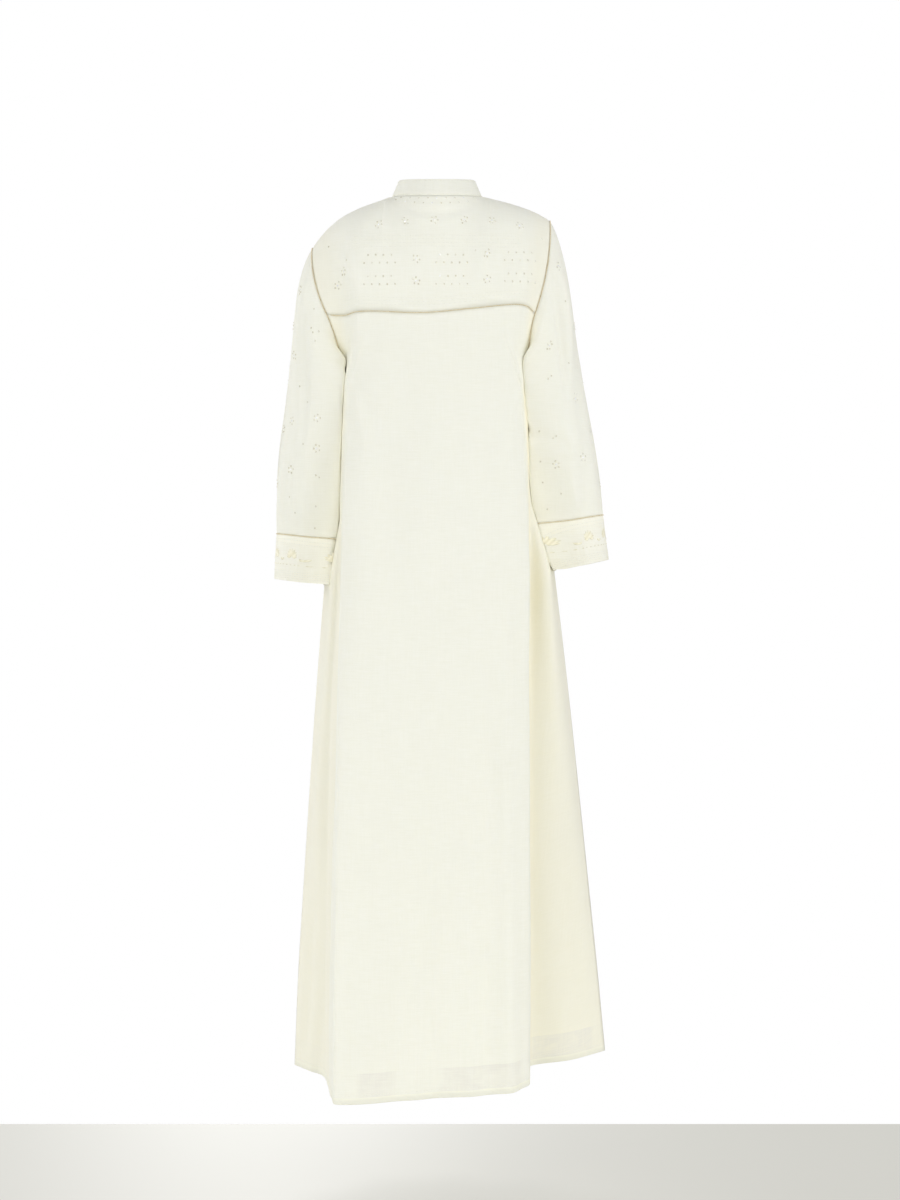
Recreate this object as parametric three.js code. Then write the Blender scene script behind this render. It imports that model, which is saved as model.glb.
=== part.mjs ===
// A long-sleeved jalabiya with a stand collar and a deep back yoke, in the form it takes when it is
// worn, open and empty inside. Millimetres, +Z up. +X is the wearer's left, -Y the front.
// The origin is the middle of the neck opening at shoulder height, where the garment is carried.
import * as THREE from "three";

// ---- driving sizes -------------------------------------------------------------------------------
const CLOTH = 1.4; // wall of a cloth panel
const SEAM_GAP = 0.3; // clear gap between two pieces that are sewn together
const PIPING = 3.2; // thickness of the piping cord
const CORD_SIDES = 6;
const ARMPIT_Z = -292; // the lowest point of both armholes
const ARMPIT_DIP = 45; // how far below that the grid line of the armpits dips in front and behind
const SLIT_HALF = 0.5; // half of the closed neck slit's width
const SLIT_ROWS = 4; // grid rows that the neck slit runs down from the neckline
const PLACKET_WIDTH = 34;
const PLACKET_BEYOND = 1; // grid rows that the placket runs on below the slit

// Grid lines across a front or back, as shares of its half width: 0 is the centre, 1 the side seam.
const NECK_SHARE = 0.46; // up to here the top edge is the neckline, then the shoulder
const HALF_COLUMNS = [0.08, 0.16, 0.24, 0.32, 0.4, 0.46, 0.52, 0.58, 0.66, 0.74, 0.81, 0.88, 0.94, 1];
const UPPER_ROWS = 6; // neckline or shoulder to the yoke seam
const MIDDLE_ROWS = 4; // yoke seam to the armpit
const SKIRT_ROWS = 11; // armpit to the hem
const SLEEVE_ROWS = [0.1, 0.22, 0.36, 0.52, 0.7, 0.86, 1, 1.5, 2, 2.5, 3, 3.5, 4]; // section numbers
const CUFF_ROWS = [4, 4.5, 5];

// The neckline and the collar's top edge are four quarter ellipses each.
const NECK = { side: 75, back: 74, front: 86, z: 3, backDrop: 7, frontDrop: 50 };
const COLLAR_TOP = { side: 63.5, back: 68, front: 75, z: 30, backDrop: 7.5, frontDrop: 52 };

// The end of each shoulder seam, and how far the seam bows up between neck and shoulder.
const SHOULDER = {
  right: { x: -186, z: -35, bow: 5 },
  left: { x: 205, z: -80, bow: 17 },
};

// The yoke seam across the back, and the chest line at the same height in front. u is the share of
// the half width, negative on the wearer's right.
const YOKE_SEAM = [
  { u: -1, x: -159, y: 82, z: -197 },
  { u: -0.88, x: -146, y: 97, z: -187 },
  { u: -0.74, x: -124, y: 106, z: -185 },
  { u: -0.4, x: -66, y: 112, z: -191 },
  { u: 0.1, x: 22, y: 114, z: -199 },
  { u: 0.58, x: 104, y: 109, z: -196 },
  { u: 0.74, x: 131, y: 103, z: -197 },
  { u: 0.88, x: 150, y: 88, z: -201 },
  { u: 1, x: 178, y: 76, z: -198 },
];
const CHEST_LINE = [
  { u: -1, x: -160, y: -74, z: -192 },
  { u: -0.74, x: -122, y: -104, z: -190 },
  { u: -0.4, x: -66, y: -114, z: -190 },
  { u: 0, x: 2, y: -116, z: -191 },
  { u: 0.4, x: 70, y: -114, z: -192 },
  { u: 0.74, x: 130, y: -102, z: -194 },
  { u: 1, x: 174, y: -74, z: -197 },
];

// The cloth over the shoulder, by share of the half width: how full it is, where 2 is a true ellipse,
// and how far it bows away from the neck.
const OVER_SHOULDER = [
  { u: 0, power: 2, bow: 0 },
  { u: 0.24, power: 2.2, bow: 1 },
  { u: 0.46, power: 2.35, bow: 11 },
  { u: 0.74, power: 2.3, bow: 4 },
  { u: 1, power: 2, bow: 0 },
];

// The skirt: one row for each fold line that runs from the armpit level to the hem, with its place
// in x and y at five heights, as shares of the way down, and the height of the hem there.
const HEIGHTS = [0, 0.146, 0.285, 0.835, 1]; // armpit, waist, hip, calf, hem
const BACK_FOLDS = [
  { fold: "right seam", u: -1, x: [-149, -165, -196, -264, -282], y: [-8, -42, -54, -62, -62], hem: -1414 },
  { fold: "right flank", u: -0.88, x: [-150, -148, -170, -216, -222], y: [24, 6, 2, -18, -16], hem: -1420 },
  { fold: "right valley", u: -0.74, x: [-146, -144, -150, -160, -163], y: [56, 56, 60, 36, 30], hem: -1425 },
  { fold: "right ridge", u: -0.58, x: [-137, -145, -149, -147, -146], y: [84, 106, 130, 160, 166], hem: -1428 },
  { fold: "right back", u: -0.4, x: [-100, -106, -110, -112, -112], y: [101, 120, 144, 184, 194], hem: -1434 },
  { fold: "centre", u: 0, x: [0, 0, 0, 0, 0], y: [107, 124, 150, 198, 208], hem: -1439 },
  { fold: "left back", u: 0.4, x: [98, 103, 108, 112, 112], y: [103, 121, 148, 216, 230], hem: -1443 },
  { fold: "left ridge", u: 0.58, x: [137, 147, 154, 162, 163], y: [86, 107, 134, 222, 238], hem: -1441 },
  { fold: "left valley", u: 0.74, x: [149, 152, 157, 180, 184], y: [54, 55, 68, 60, 46], hem: -1438 },
  { fold: "left flank", u: 0.88, x: [152, 154, 165, 206, 212], y: [20, 4, 2, 0, -6], hem: -1437 },
  { fold: "left seam", u: 1, x: [151, 164, 188, 231, 239], y: [-8, -42, -54, -52, -52], hem: -1436 },
];
const FRONT_FOLDS = [
  { fold: "right seam", u: -1, x: [-149, -165, -196, -264, -282], y: [-8, -42, -54, -62, -62], hem: -1414 },
  { fold: "right hip", u: -0.8, x: [-146, -156, -184, -238, -246], y: [-56, -82, -98, -128, -134], hem: -1420 },
  { fold: "right hollow", u: -0.58, x: [-114, -122, -138, -160, -164], y: [-92, -104, -118, -148, -152], hem: -1426 },
  { fold: "right pleat", u: -0.4, x: [-82, -88, -98, -122, -126], y: [-104, -114, -130, -214, -226], hem: -1432 },
  { fold: "right dip", u: -0.2, x: [-42, -44, -50, -62, -64], y: [-110, -119, -132, -186, -194], hem: -1434 },
  { fold: "centre", u: 0, x: [0, 0, 0, 2, 2], y: [-113, -124, -142, -222, -236], hem: -1436 },
  { fold: "left dip", u: 0.2, x: [42, 44, 50, 60, 62], y: [-110, -119, -134, -196, -206], hem: -1438 },
  { fold: "left pleat", u: 0.4, x: [82, 88, 98, 116, 120], y: [-104, -114, -130, -208, -218], hem: -1438 },
  { fold: "left hollow", u: 0.58, x: [114, 122, 136, 154, 158], y: [-92, -104, -116, -142, -146], hem: -1438 },
  { fold: "left hip", u: 0.8, x: [147, 155, 178, 206, 212], y: [-56, -82, -96, -118, -122], hem: -1437 },
  { fold: "left seam", u: 1, x: [151, 164, 188, 231, 239], y: [-8, -42, -54, -52, -52], hem: -1436 },
];

// Sleeve sections below the armhole, which is section 0: the middle, the half width away from the
// body, the half depth, and how far the outer side is tipped up, in degrees.
const SLEEVES = {
  right: {
    away: -1,
    sections: [
      { name: "upper arm", x: -198, y: 12, z: -336, width: 46, depth: 60, tip: 9 },
      { name: "elbow", x: -206, y: 14, z: -420, width: 53.5, depth: 55, tip: 9 },
      { name: "forearm", x: -215, y: 12, z: -484, width: 54, depth: 48, tip: 10 },
      { name: "cuff top", x: -223, y: 8, z: -529, width: 51.5, depth: 42, tip: 10 },
      { name: "cuff end", x: -239.5, y: 4, z: -602, width: 44.5, depth: 48, tip: 12 },
    ],
  },
  left: {
    away: 1,
    sections: [
      { name: "upper arm", x: 200.5, y: 12, z: -340, width: 47, depth: 60, tip: 8 },
      { name: "elbow", x: 208, y: 14, z: -432, width: 51, depth: 56, tip: 7 },
      { name: "forearm", x: 212, y: 12, z: -505, width: 51.5, depth: 49, tip: 7 },
      { name: "cuff top", x: 214.5, y: 8, z: -557, width: 50, depth: 43, tip: 7 },
      { name: "cuff end", x: 225, y: 4, z: -630, width: 43.5, depth: 48, tip: 7.5 },
    ],
  },
};
// How the sleeve leaves the armhole, by turns round it: 0 shoulder, 0.25 back, 0.5 armpit, 0.75 front.
const LEAVES_ARMHOLE = [
  { turn: 0, away: 0.5, back: 0, down: 0.87, pull: 190 },
  { turn: 0.25, away: 0.8, back: 0.3, down: 0.52, pull: 120 },
  { turn: 0.38, away: 0.95, back: 0.3, down: 0.1, pull: 80 },
  { turn: 0.5, away: 1, back: 0, down: 0.05, pull: 55 },
  { turn: 0.62, away: 0.95, back: -0.3, down: 0.1, pull: 80 },
  { turn: 0.75, away: 0.8, back: -0.3, down: 0.52, pull: 120 },
  { turn: 1, away: 0.5, back: 0, down: 0.87, pull: 190 },
];
// Long soft creases in a sleeve: where round it, how deep, how wide in turns, and from which
// section to which.
const SLEEVE_CREASES = [
  { turn: 0.12, depth: 4.5, width: 0.05, from: 0.3, to: 2.4 },
  { turn: 0.3, depth: 5, width: 0.06, from: 0.8, to: 3.6 },
  { turn: 0.82, depth: 5, width: 0.06, from: 0.5, to: 3.2 },
];

// ---- curves --------------------------------------------------------------------------------------
const vec = (x, y, z) => new THREE.Vector3(x, y, z);
const mix = (a, b, t) => a + (b - a) * t;
const smooth = (t) => t * t * (3 - 2 * t);
const clamp01 = (t) => Math.min(Math.max(t, 0), 1);

// A smooth curve through values at rising places, read at x.
function through(places, values, x) {
  const last = places.length - 1;
  const slope = (k) => {
    const a = Math.max(k - 1, 0);
    const b = Math.min(k + 1, last);
    return (values[b] - values[a]) / (places[b] - places[a]);
  };
  let k = 0;
  while (k < last - 1 && x > places[k + 1]) k++;
  const span = places[k + 1] - places[k];
  const t = (x - places[k]) / span;
  const t2 = t * t;
  const t3 = t2 * t;
  return (
    (2 * t3 - 3 * t2 + 1) * values[k] +
    (t3 - 2 * t2 + t) * span * slope(k) +
    (3 * t2 - 2 * t3) * values[k + 1] +
    (t3 - t2) * span * slope(k + 1)
  );
}
const column = (rows, place, value, x) =>
  through(rows.map((row) => row[place]), rows.map((row) => row[value]), x);

// A curve between two points that leaves and arrives along the given pulls.
function between(start, leave, end, arrive, t) {
  const t2 = t * t;
  const t3 = t2 * t;
  return vec(0, 0, 0)
    .addScaledVector(start, 2 * t3 - 3 * t2 + 1)
    .addScaledVector(leave, t3 - 2 * t2 + t)
    .addScaledVector(end, 3 * t2 - 2 * t3)
    .addScaledVector(arrive, t3 - t2);
}

// ---- body of the garment -------------------------------------------------------------------------
const FACES = {
  back: { sign: 1, seam: YOKE_SEAM, folds: BACK_FOLDS },
  front: { sign: -1, seam: CHEST_LINE, folds: FRONT_FOLDS },
};

// A point on the neckline or the collar's top edge. share runs from -1 (right) to 1 (left).
function neckPoint(ring, sign, share) {
  const angle = (share * Math.PI) / 2;
  const cos = Math.cos(angle);
  const reach = sign > 0 ? ring.back : ring.front;
  const drop = sign > 0 ? ring.backDrop : ring.frontDrop;
  return vec(ring.side * Math.sin(angle), sign * reach * cos, ring.z - drop * cos ** 1.5);
}

// The top edge of a front or back: the neckline in the middle and a shoulder seam on each side.
function topEdge(face, u) {
  if (Math.abs(u) <= NECK_SHARE) return neckPoint(NECK, face.sign, u / NECK_SHARE);
  const shoulder = u < 0 ? SHOULDER.right : SHOULDER.left;
  const neck = neckPoint(NECK, face.sign, Math.sign(u));
  const t = (Math.abs(u) - NECK_SHARE) / (1 - NECK_SHARE);
  return vec(
    mix(neck.x, shoulder.x, t),
    0,
    mix(neck.z, shoulder.z, t) + shoulder.bow * 4 * t * (1 - t) * (0.4 + 1.2 * t),
  );
}
const seamPoint = (face, u) =>
  vec(column(face.seam, "u", "x", u), column(face.seam, "u", "y", u), column(face.seam, "u", "z", u));

// 1 on the edge of an armhole or side seam, falling to 0 a little way in.
const sideways = (u) => clamp01((Math.abs(u) - 0.74) / 0.26) ** 2;

// The skirt, from the armpit level (down = 0) to the hem (down = 1).
function skirt(face, u, down) {
  const us = face.folds.map((row) => row.u);
  const x = through(us, face.folds.map((row) => through(HEIGHTS, row.x, down)), u);
  const y = through(us, face.folds.map((row) => through(HEIGHTS, row.y, down)), u);
  const start = ARMPIT_Z - ARMPIT_DIP * (1 - sideways(u));
  return vec(x, y, mix(start, column(face.folds, "u", "hem", u), down));
}

// The part above the armpit: part 0 is the top edge, 1 the yoke seam or chest line, 2 the armpit.
// Down to the seam it is a quarter of a full ellipse over the shoulder, then a soft curve in to the armpit.
function upper(face, u, part) {
  const top = topEdge(face, u);
  const seam = seamPoint(face, u);
  const side = sideways(u);
  const late = mix(1, 2.1, side); // the armholes run in towards the body late
  if (part <= 1) {
    const power = 2 / column(OVER_SHOULDER, "u", "power", Math.abs(u));
    const bow = Math.sign(u) * column(OVER_SHOULDER, "u", "bow", Math.abs(u)) * Math.sin(Math.PI * part);
    const start = Math.asin(clamp01(top.y / seam.y) ** (1 / power));
    const angle = mix(start, Math.PI / 2, part);
    const fall = part === 1 ? 1 : 1 - (Math.cos(angle) / Math.cos(start)) ** power;
    const x = mix(top.x, seam.x, fall ** late) + bow;
    return vec(x, seam.y * Math.sin(angle) ** power, mix(top.z, seam.z, fall));
  }
  const armpit = skirt(face, u, 0);
  const cross = vec(((seam.x - top.x) * late) / (top.z - seam.z), 0, -1).multiplyScalar(mix(120, 110, side));
  const arrive = skirt(face, u, 0.01).sub(armpit).setLength(120).lerp(vec(0, -face.sign * 150, 0), side);
  return between(seam, cross, armpit, arrive, part - 1);
}

const bodyPoint = (face, u, row) => (row <= 2 ? upper(face, u, row) : skirt(face, u, row - 2));
const steps = (from, to, count) => Array.from({ length: count + 1 }, (_, k) => mix(from, to, k / count));
const UPPER = steps(0, 1, UPPER_ROWS);
const MIDDLE = steps(1, 2, MIDDLE_ROWS);
const SKIRT = steps(2, 3, SKIRT_ROWS);
const ALL_COLUMNS = [...HALF_COLUMNS.map((u) => -u).reverse(), 0, ...HALF_COLUMNS];
const slitShare = (SLIT_HALF / NECK.side) * (2 / Math.PI) * NECK_SHARE;
const SLIT_COLUMNS = ALL_COLUMNS.flatMap((u) => (u === 0 ? [-slitShare, slitShare] : [u]));
const grid = (columns, rows, point) => rows.map((row) => columns.map((u) => point(u, row)));

// ---- sleeves -------------------------------------------------------------------------------------
// The armhole, once round: from the shoulder down the back to the armpit and up the front.
function armhole(side) {
  const u = side === "right" ? -1 : 1;
  const rows = [...UPPER, ...MIDDLE.slice(1)];
  const down = rows.map((row) => upper(FACES.back, u, row));
  const up = rows.map((row) => upper(FACES.front, u, row)).reverse();
  return [...down, ...up.slice(1, -1)];
}
// How far round the armhole each of its points is: 0 to 0.5 down the back, 0.5 to 1 up the front.
function turns(loop) {
  const half = loop.length / 2;
  const along = [0];
  loop.forEach((point, k) => along.push(along[k] + point.distanceTo(loop[(k + 1) % loop.length])));
  const whole = along[loop.length];
  return loop.map((_, k) =>
    k <= half ? (0.5 * along[k]) / along[half] : 0.5 + (0.5 * (along[k] - along[half])) / (whole - along[half]),
  );
}
function sectionPoint(sleeve, number, turn) {
  const at = sleeve.sections.map((_, k) => k + 1);
  const read = (key) => through(at, sleeve.sections.map((row) => row[key]), number);
  const angle = turn * 2 * Math.PI;
  const tip = THREE.MathUtils.degToRad(read("tip"));
  let sink = 0;
  for (const crease of SLEEVE_CREASES) {
    const across = Math.abs(((turn - crease.turn + 1.5) % 1) - 0.5) / crease.width;
    const along = clamp01((number - crease.from) / (crease.to - crease.from));
    sink += crease.depth * Math.exp(-across * across) * Math.sin(Math.PI * along) ** 2;
  }
  const wide = (read("width") - sink) * Math.cos(angle);
  const deep = (read("depth") - sink) * Math.sin(angle);
  return vec(
    read("x") + sleeve.away * wide * Math.cos(tip),
    read("y") + deep,
    read("z") + wide * Math.sin(tip),
  );
}
function sleevePoint(sleeve, start, turn, number) {
  if (number >= 1) return sectionPoint(sleeve, number, turn);
  const read = (key) => column(LEAVES_ARMHOLE, "turn", key, turn);
  const leave = vec(sleeve.away * read("away"), read("back"), -read("down")).multiplyScalar(read("pull"));
  const end = sectionPoint(sleeve, 1, turn);
  const arrive = sectionPoint(sleeve, 1.02, turn).sub(end).multiplyScalar(50);
  arrive.setLength(start.distanceTo(end) * 0.9);
  return between(start, leave, end, arrive, number);
}
function sleeveGrid(side, rows) {
  const sleeve = SLEEVES[side];
  const loop = armhole(side);
  const turn = turns(loop);
  return rows.map((row) => loop.map((start, k) => sleevePoint(sleeve, start, turn[k], row)));
}

// ---- collar --------------------------------------------------------------------------------------
// From the centre front round the right side and the back to the centre front again.
const neckShares = ALL_COLUMNS.filter((u) => Math.abs(u) <= NECK_SHARE + 1e-9).map((u) => u / NECK_SHARE);
const frontShares = SLIT_COLUMNS.filter((u) => Math.abs(u) < NECK_SHARE - 1e-9).map((u) => u / NECK_SHARE);
const COLLAR_STOPS = [
  ...frontShares.filter((share) => share < 0).reverse().map((share) => [-1, share]),
  ...neckShares.map((share) => [1, share]),
  ...frontShares.filter((share) => share > 0).reverse().map((share) => [-1, share]),
];
const collarGrid = [0, 0.5, 1].map((low) =>
  COLLAR_STOPS.map(([sign, share]) =>
    neckPoint(COLLAR_TOP, sign, share).lerp(neckPoint(NECK, sign, share), low),
  ),
);

// ---- panels --------------------------------------------------------------------------------------
// Each panel is a grid of points on the outside of the cloth, with the edges that are sewn to a
// neighbour. flip turns the grid's own side outwards.
const PANELS = {
  collar: { grid: collarGrid, sewn: ["bottom"] },
  back_yoke: {
    grid: grid(ALL_COLUMNS, UPPER, (u, row) => bodyPoint(FACES.back, u, row)),
    sewn: ["top", "bottom", "left", "right"],
  },
  back_panel: {
    grid: grid(ALL_COLUMNS, [...MIDDLE, ...SKIRT.slice(1)], (u, row) => bodyPoint(FACES.back, u, row)),
    sewn: ["top", "left", "right"],
  },
  front_panel: {
    grid: grid(SLIT_COLUMNS, [...UPPER, ...MIDDLE.slice(1), ...SKIRT.slice(1)], (u, row) =>
      bodyPoint(FACES.front, u, row),
    ),
    sewn: ["top", "left", "right"],
    flip: true,
    open: (column, row) => row < SLIT_ROWS && column === HALF_COLUMNS.length,
  },
  sleeve_right: { grid: sleeveGrid("right", [0, ...SLEEVE_ROWS]), sewn: ["top", "bottom"], round: true },
  sleeve_left: { grid: sleeveGrid("left", [0, ...SLEEVE_ROWS]), sewn: ["top", "bottom"], round: true, flip: true },
  cuff_right: { grid: sleeveGrid("right", CUFF_ROWS), sewn: ["top"], round: true },
  cuff_left: { grid: sleeveGrid("left", CUFF_ROWS), sewn: ["top"], round: true, flip: true },
};

const key = (point) => point.toArray().map((value) => Math.round(value * 50)).join(",");
const seamNormals = new Map(); // the sum of the neighbours' normals at each point

function gridNormals({ grid: points, round, flip }) {
  const height = points.length;
  const width = points[0].length;
  return points.map((row, j) =>
    row.map((_, i) => {
      const left = round ? (i + width - 1) % width : Math.max(i - 1, 0);
      const right = round ? (i + 1) % width : Math.min(i + 1, width - 1);
      const across = points[j][right].clone().sub(points[j][left]);
      const down = points[Math.min(j + 1, height - 1)][i].clone().sub(points[Math.max(j - 1, 0)][i]);
      const normal = across.cross(down);
      return (flip ? normal.negate() : normal).normalize();
    }),
  );
}
for (const panel of Object.values(PANELS)) {
  panel.normals = gridNormals(panel);
  panel.grid.forEach((row, j) =>
    row.forEach((point, i) => {
      const sum = seamNormals.get(key(point)) ?? vec(0, 0, 0);
      seamNormals.set(key(point), sum.add(panel.normals[j][i]));
    }),
  );
}
const sharedNormal = (point) => seamNormals.get(key(point)).clone().normalize();

// The grid with its sewn edges drawn back by half a seam gap, square to the edge.
function drawnBack({ grid: points, sewn, round }) {
  const bottom = points.length - 1;
  const right = points[0].length - 1;
  const wrap = (i) => (round ? (i + right + 1) % (right + 1) : i);
  // The way in from the edge between two neighbours, seen from the first of them.
  const inwards = (from, to, inner) => {
    const along = to.clone().sub(from).normalize();
    const way = inner.clone().sub(from);
    return way.addScaledVector(along, -way.dot(along)).normalize();
  };
  return points.map((row, j) =>
    row.map((point, i) => {
      const edges = []; // [way in, distance] for each edge that meets here
      const meet = (to, inner, name) =>
        edges.push([inwards(point, to, inner), sewn.includes(name) ? SEAM_GAP / 2 : 0]);
      for (const [edge, inner, name] of [[0, 1, "top"], [bottom, bottom - 1, "bottom"]]) {
        if (j !== edge) continue;
        if (round || i > 0) meet(row[wrap(i - 1)], points[inner][i], name);
        if (round || i < right) meet(row[wrap(i + 1)], points[inner][i], name);
      }
      for (const [edge, inner, name] of [[0, 1, "left"], [right, right - 1, "right"]]) {
        if (round || i !== edge) continue;
        if (j > 0) meet(points[j - 1][i], row[inner], name);
        if (j < bottom) meet(points[j + 1][i], row[inner], name);
      }
      if (!edges.length) return point.clone();
      const [[a, da], [b, db]] = edges;
      const cos = a.dot(b);
      if (cos > 0.97) return point.clone().addScaledVector(a.clone().add(b).normalize(), (da + db) / 2);
      const spread = 1 - cos * cos;
      return point
        .clone()
        .addScaledVector(a, (da - cos * db) / spread)
        .addScaledVector(b, (db - cos * da) / spread);
    }),
  );
}

// A closed body from triangles, turned so that its faces point out.
function solid(vertices, triangles) {
  let volume = 0;
  for (const [a, b, c] of triangles) {
    volume += vertices[a].clone().cross(vertices[b]).dot(vertices[c]);
  }
  const faces = volume < 0 ? triangles.map(([a, b, c]) => [a, c, b]) : triangles;
  const geometry = new THREE.BufferGeometry();
  geometry.setAttribute("position", new THREE.Float32BufferAttribute(vertices.flatMap((v) => v.toArray()), 3));
  geometry.setIndex(faces.flat());
  geometry.computeVertexNormals();
  return geometry;
}

// A skin, and the same skin offset places further on in the vertices, closed by a rim along every free
// edge. Two walls that meet cut their rims along the same diagonal.
function closedWall(vertices, skin, offset) {
  const edges = new Set(skin.flatMap(([a, b, c]) => [`${a},${b}`, `${b},${c}`, `${c},${a}`]));
  const triangles = skin.flatMap(([a, b, c]) => [[a, b, c], [a + offset, c + offset, b + offset]]);
  const rank = ({ x, y, z }) => z + 0.37 * y + 0.11 * x;
  for (const edge of edges) {
    const [a, b] = edge.split(",").map(Number);
    if (edges.has(`${b},${a}`)) continue;
    if (rank(vertices[a]) > rank(vertices[b])) triangles.push([b, a, b + offset], [a, a + offset, b + offset]);
    else triangles.push([b, a, a + offset], [b, a + offset, b + offset]);
  }
  return solid(vertices, triangles);
}

// A cloth wall: the outer grid, the same grid moved in by the cloth's thickness, and a rim along
// every free edge.
function clothWall(panel) {
  const outer = drawnBack(panel);
  const inner = outer.map((row, j) =>
    row.map((point, i) => point.clone().addScaledVector(sharedNormal(panel.grid[j][i]), -CLOTH)),
  );
  const height = outer.length;
  const width = outer[0].length;
  const vertices = [...outer.flat(), ...inner.flat()];
  const at = (i, j) => j * width + (i % width);
  const offset = height * width;
  const skin = [];
  for (let j = 0; j < height - 1; j++) {
    for (let i = 0; i < (panel.round ? width : width - 1); i++) {
      if (panel.open?.(i, j)) continue;
      const [a, b, c, d] = [at(i, j), at(i + 1, j), at(i + 1, j + 1), at(i, j + 1)];
      skin.push([a, b, c], [a, c, d]);
    }
  }
  return closedWall(vertices, skin, offset);
}

// A round cord that lies on the cloth along a line of its points.
function cordOn(points, thickness, closed) {
  const radius = thickness / 2;
  const count = points.length;
  const vertices = [];
  const step = (k, by) => points[closed ? (k + by + count) % count : Math.min(Math.max(k + by, 0), count - 1)];
  points.forEach((point, k) => {
    const along = step(k, 1).clone().sub(step(k, -1)).normalize();
    const up = sharedNormal(point);
    up.addScaledVector(along, -up.dot(along)).normalize();
    const across = along.clone().cross(up);
    const middle = point.clone().addScaledVector(up, radius + SEAM_GAP * 2.5);
    for (let s = 0; s < CORD_SIDES; s++) {
      const angle = ((s + 0.5) / CORD_SIDES) * 2 * Math.PI;
      vertices.push(
        middle.clone().addScaledVector(up, radius * Math.cos(angle)).addScaledVector(across, radius * Math.sin(angle)),
      );
    }
  });
  const at = (k, s) => (k % count) * CORD_SIDES + (s % CORD_SIDES);
  const triangles = [];
  for (let k = 0; k < (closed ? count : count - 1); k++) {
    for (let s = 0; s < CORD_SIDES; s++) {
      triangles.push([at(k, s), at(k, s + 1), at(k + 1, s + 1)], [at(k, s), at(k + 1, s + 1), at(k + 1, s)]);
    }
  }
  if (!closed) {
    for (let s = 1; s < CORD_SIDES - 1; s++) {
      triangles.push([at(0, 0), at(0, s + 1), at(0, s)]);
      triangles.push([at(count - 1, 0), at(count - 1, s), at(count - 1, s + 1)]);
    }
  }
  return solid(vertices, triangles);
}

// The placket: a band of cloth on the front panel, over the neck slit.
function placket() {
  const rows = [...UPPER, ...MIDDLE.slice(1)].slice(0, SLIT_ROWS + PLACKET_BEYOND + 1);
  const reach = ((PLACKET_WIDTH / 2 / NECK.side) * NECK_SHARE * 2) / Math.PI;
  const columns = [-reach, -slitShare, slitShare, reach];
  const points = grid(columns, rows, (u, row) => bodyPoint(FACES.front, u, row));
  points[0].forEach((point, i) => point.lerp(points[1][i], 0.04)); // clear of the collar
  const normals = gridNormals({ grid: points, flip: true });
  const lifted = (by) => points.map((row, j) => row.map((point, i) => point.clone().addScaledVector(normals[j][i], by)));
  const outer = lifted(SEAM_GAP * 1.5 + CLOTH);
  const inner = lifted(SEAM_GAP * 1.5);
  const vertices = [...outer.flat(), ...inner.flat()];
  const width = columns.length;
  const offset = width * rows.length;
  const skin = [];
  for (let j = 0; j < rows.length - 1; j++) {
    for (let i = 0; i < width - 1; i++) {
      const [a, b, c, d] = [j * width + i, j * width + i + 1, (j + 1) * width + i + 1, (j + 1) * width + i];
      skin.push([a, b, c], [a, c, d]);
    }
  }
  return closedWall(vertices, skin, offset);
}

// ---- pieces --------------------------------------------------------------------------------------
const IVORY = 0xf1efdd;
const GOLD = 0xb49a6a;
const group = new THREE.Group();
group.name = "jalabiya";
function add(name, geometry, color) {
  const mesh = new THREE.Mesh(geometry, new THREE.MeshStandardMaterial({ color, roughness: 0.9 }));
  mesh.name = name;
  group.add(mesh);
}

for (const [name, panel] of Object.entries(PANELS)) add(name, clothWall(panel), IVORY);
add("front_placket", placket(), IVORY);

const yokeLine = PANELS.back_panel.grid[0];
add("yoke_piping", cordOn(yokeLine.slice(1, -1), PIPING, false), GOLD);
for (const side of ["right", "left"]) {
  // Round the armhole from the front to the back, leaving the armpit bare.
  const loop = PANELS[`sleeve_${side}`].grid[0];
  const half = loop.length / 2;
  const front = loop.slice(half + 3);
  add(`armhole_piping_${side}`, cordOn([...front, ...loop.slice(0, half - 2)], PIPING, false), GOLD);
  add(`cuff_piping_${side}`, cordOn(PANELS[`cuff_${side}`].grid[0], PIPING, true), GOLD);
}

export default group;
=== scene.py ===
"""Builds a long-sleeved jalabiya with a beaded back yoke and embroidered cuffs, in its worn shape.

Tables and the functions on them are in millimetres: +Z up, +X the wearer's left, -Y the front.
Meshes are in metres.
"""

import functools

import bmesh
import bpy
import numpy as np
from bpy.props import FloatProperty, FloatVectorProperty, PointerProperty
from bpy.types import Operator, Panel, PropertyGroup
from mathutils import Matrix, Vector


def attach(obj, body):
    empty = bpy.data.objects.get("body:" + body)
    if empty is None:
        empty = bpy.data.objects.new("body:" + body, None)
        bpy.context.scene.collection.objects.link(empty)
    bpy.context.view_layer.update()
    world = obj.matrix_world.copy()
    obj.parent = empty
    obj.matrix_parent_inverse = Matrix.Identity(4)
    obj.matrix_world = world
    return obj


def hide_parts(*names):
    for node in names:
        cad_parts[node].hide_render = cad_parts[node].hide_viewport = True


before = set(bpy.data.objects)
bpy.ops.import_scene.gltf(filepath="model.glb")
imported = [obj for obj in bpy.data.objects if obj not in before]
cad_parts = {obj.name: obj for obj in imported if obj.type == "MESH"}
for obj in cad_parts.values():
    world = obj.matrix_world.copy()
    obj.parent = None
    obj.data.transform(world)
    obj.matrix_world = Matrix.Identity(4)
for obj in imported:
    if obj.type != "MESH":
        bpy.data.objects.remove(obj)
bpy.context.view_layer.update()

bl_info = {
    "name": "Jalabiya",
    "version": (1, 0, 0),
    "blender": (4, 5, 0),
    "location": "3D View > Sidebar > Jalabiya",
    "description": "Builds a long-sleeved jalabiya with a beaded back yoke and embroidered cuffs",
    "category": "Add Mesh",
}

MM = 0.001

# ---- the shape of the cloth ------------------------------------------------------------------

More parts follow.
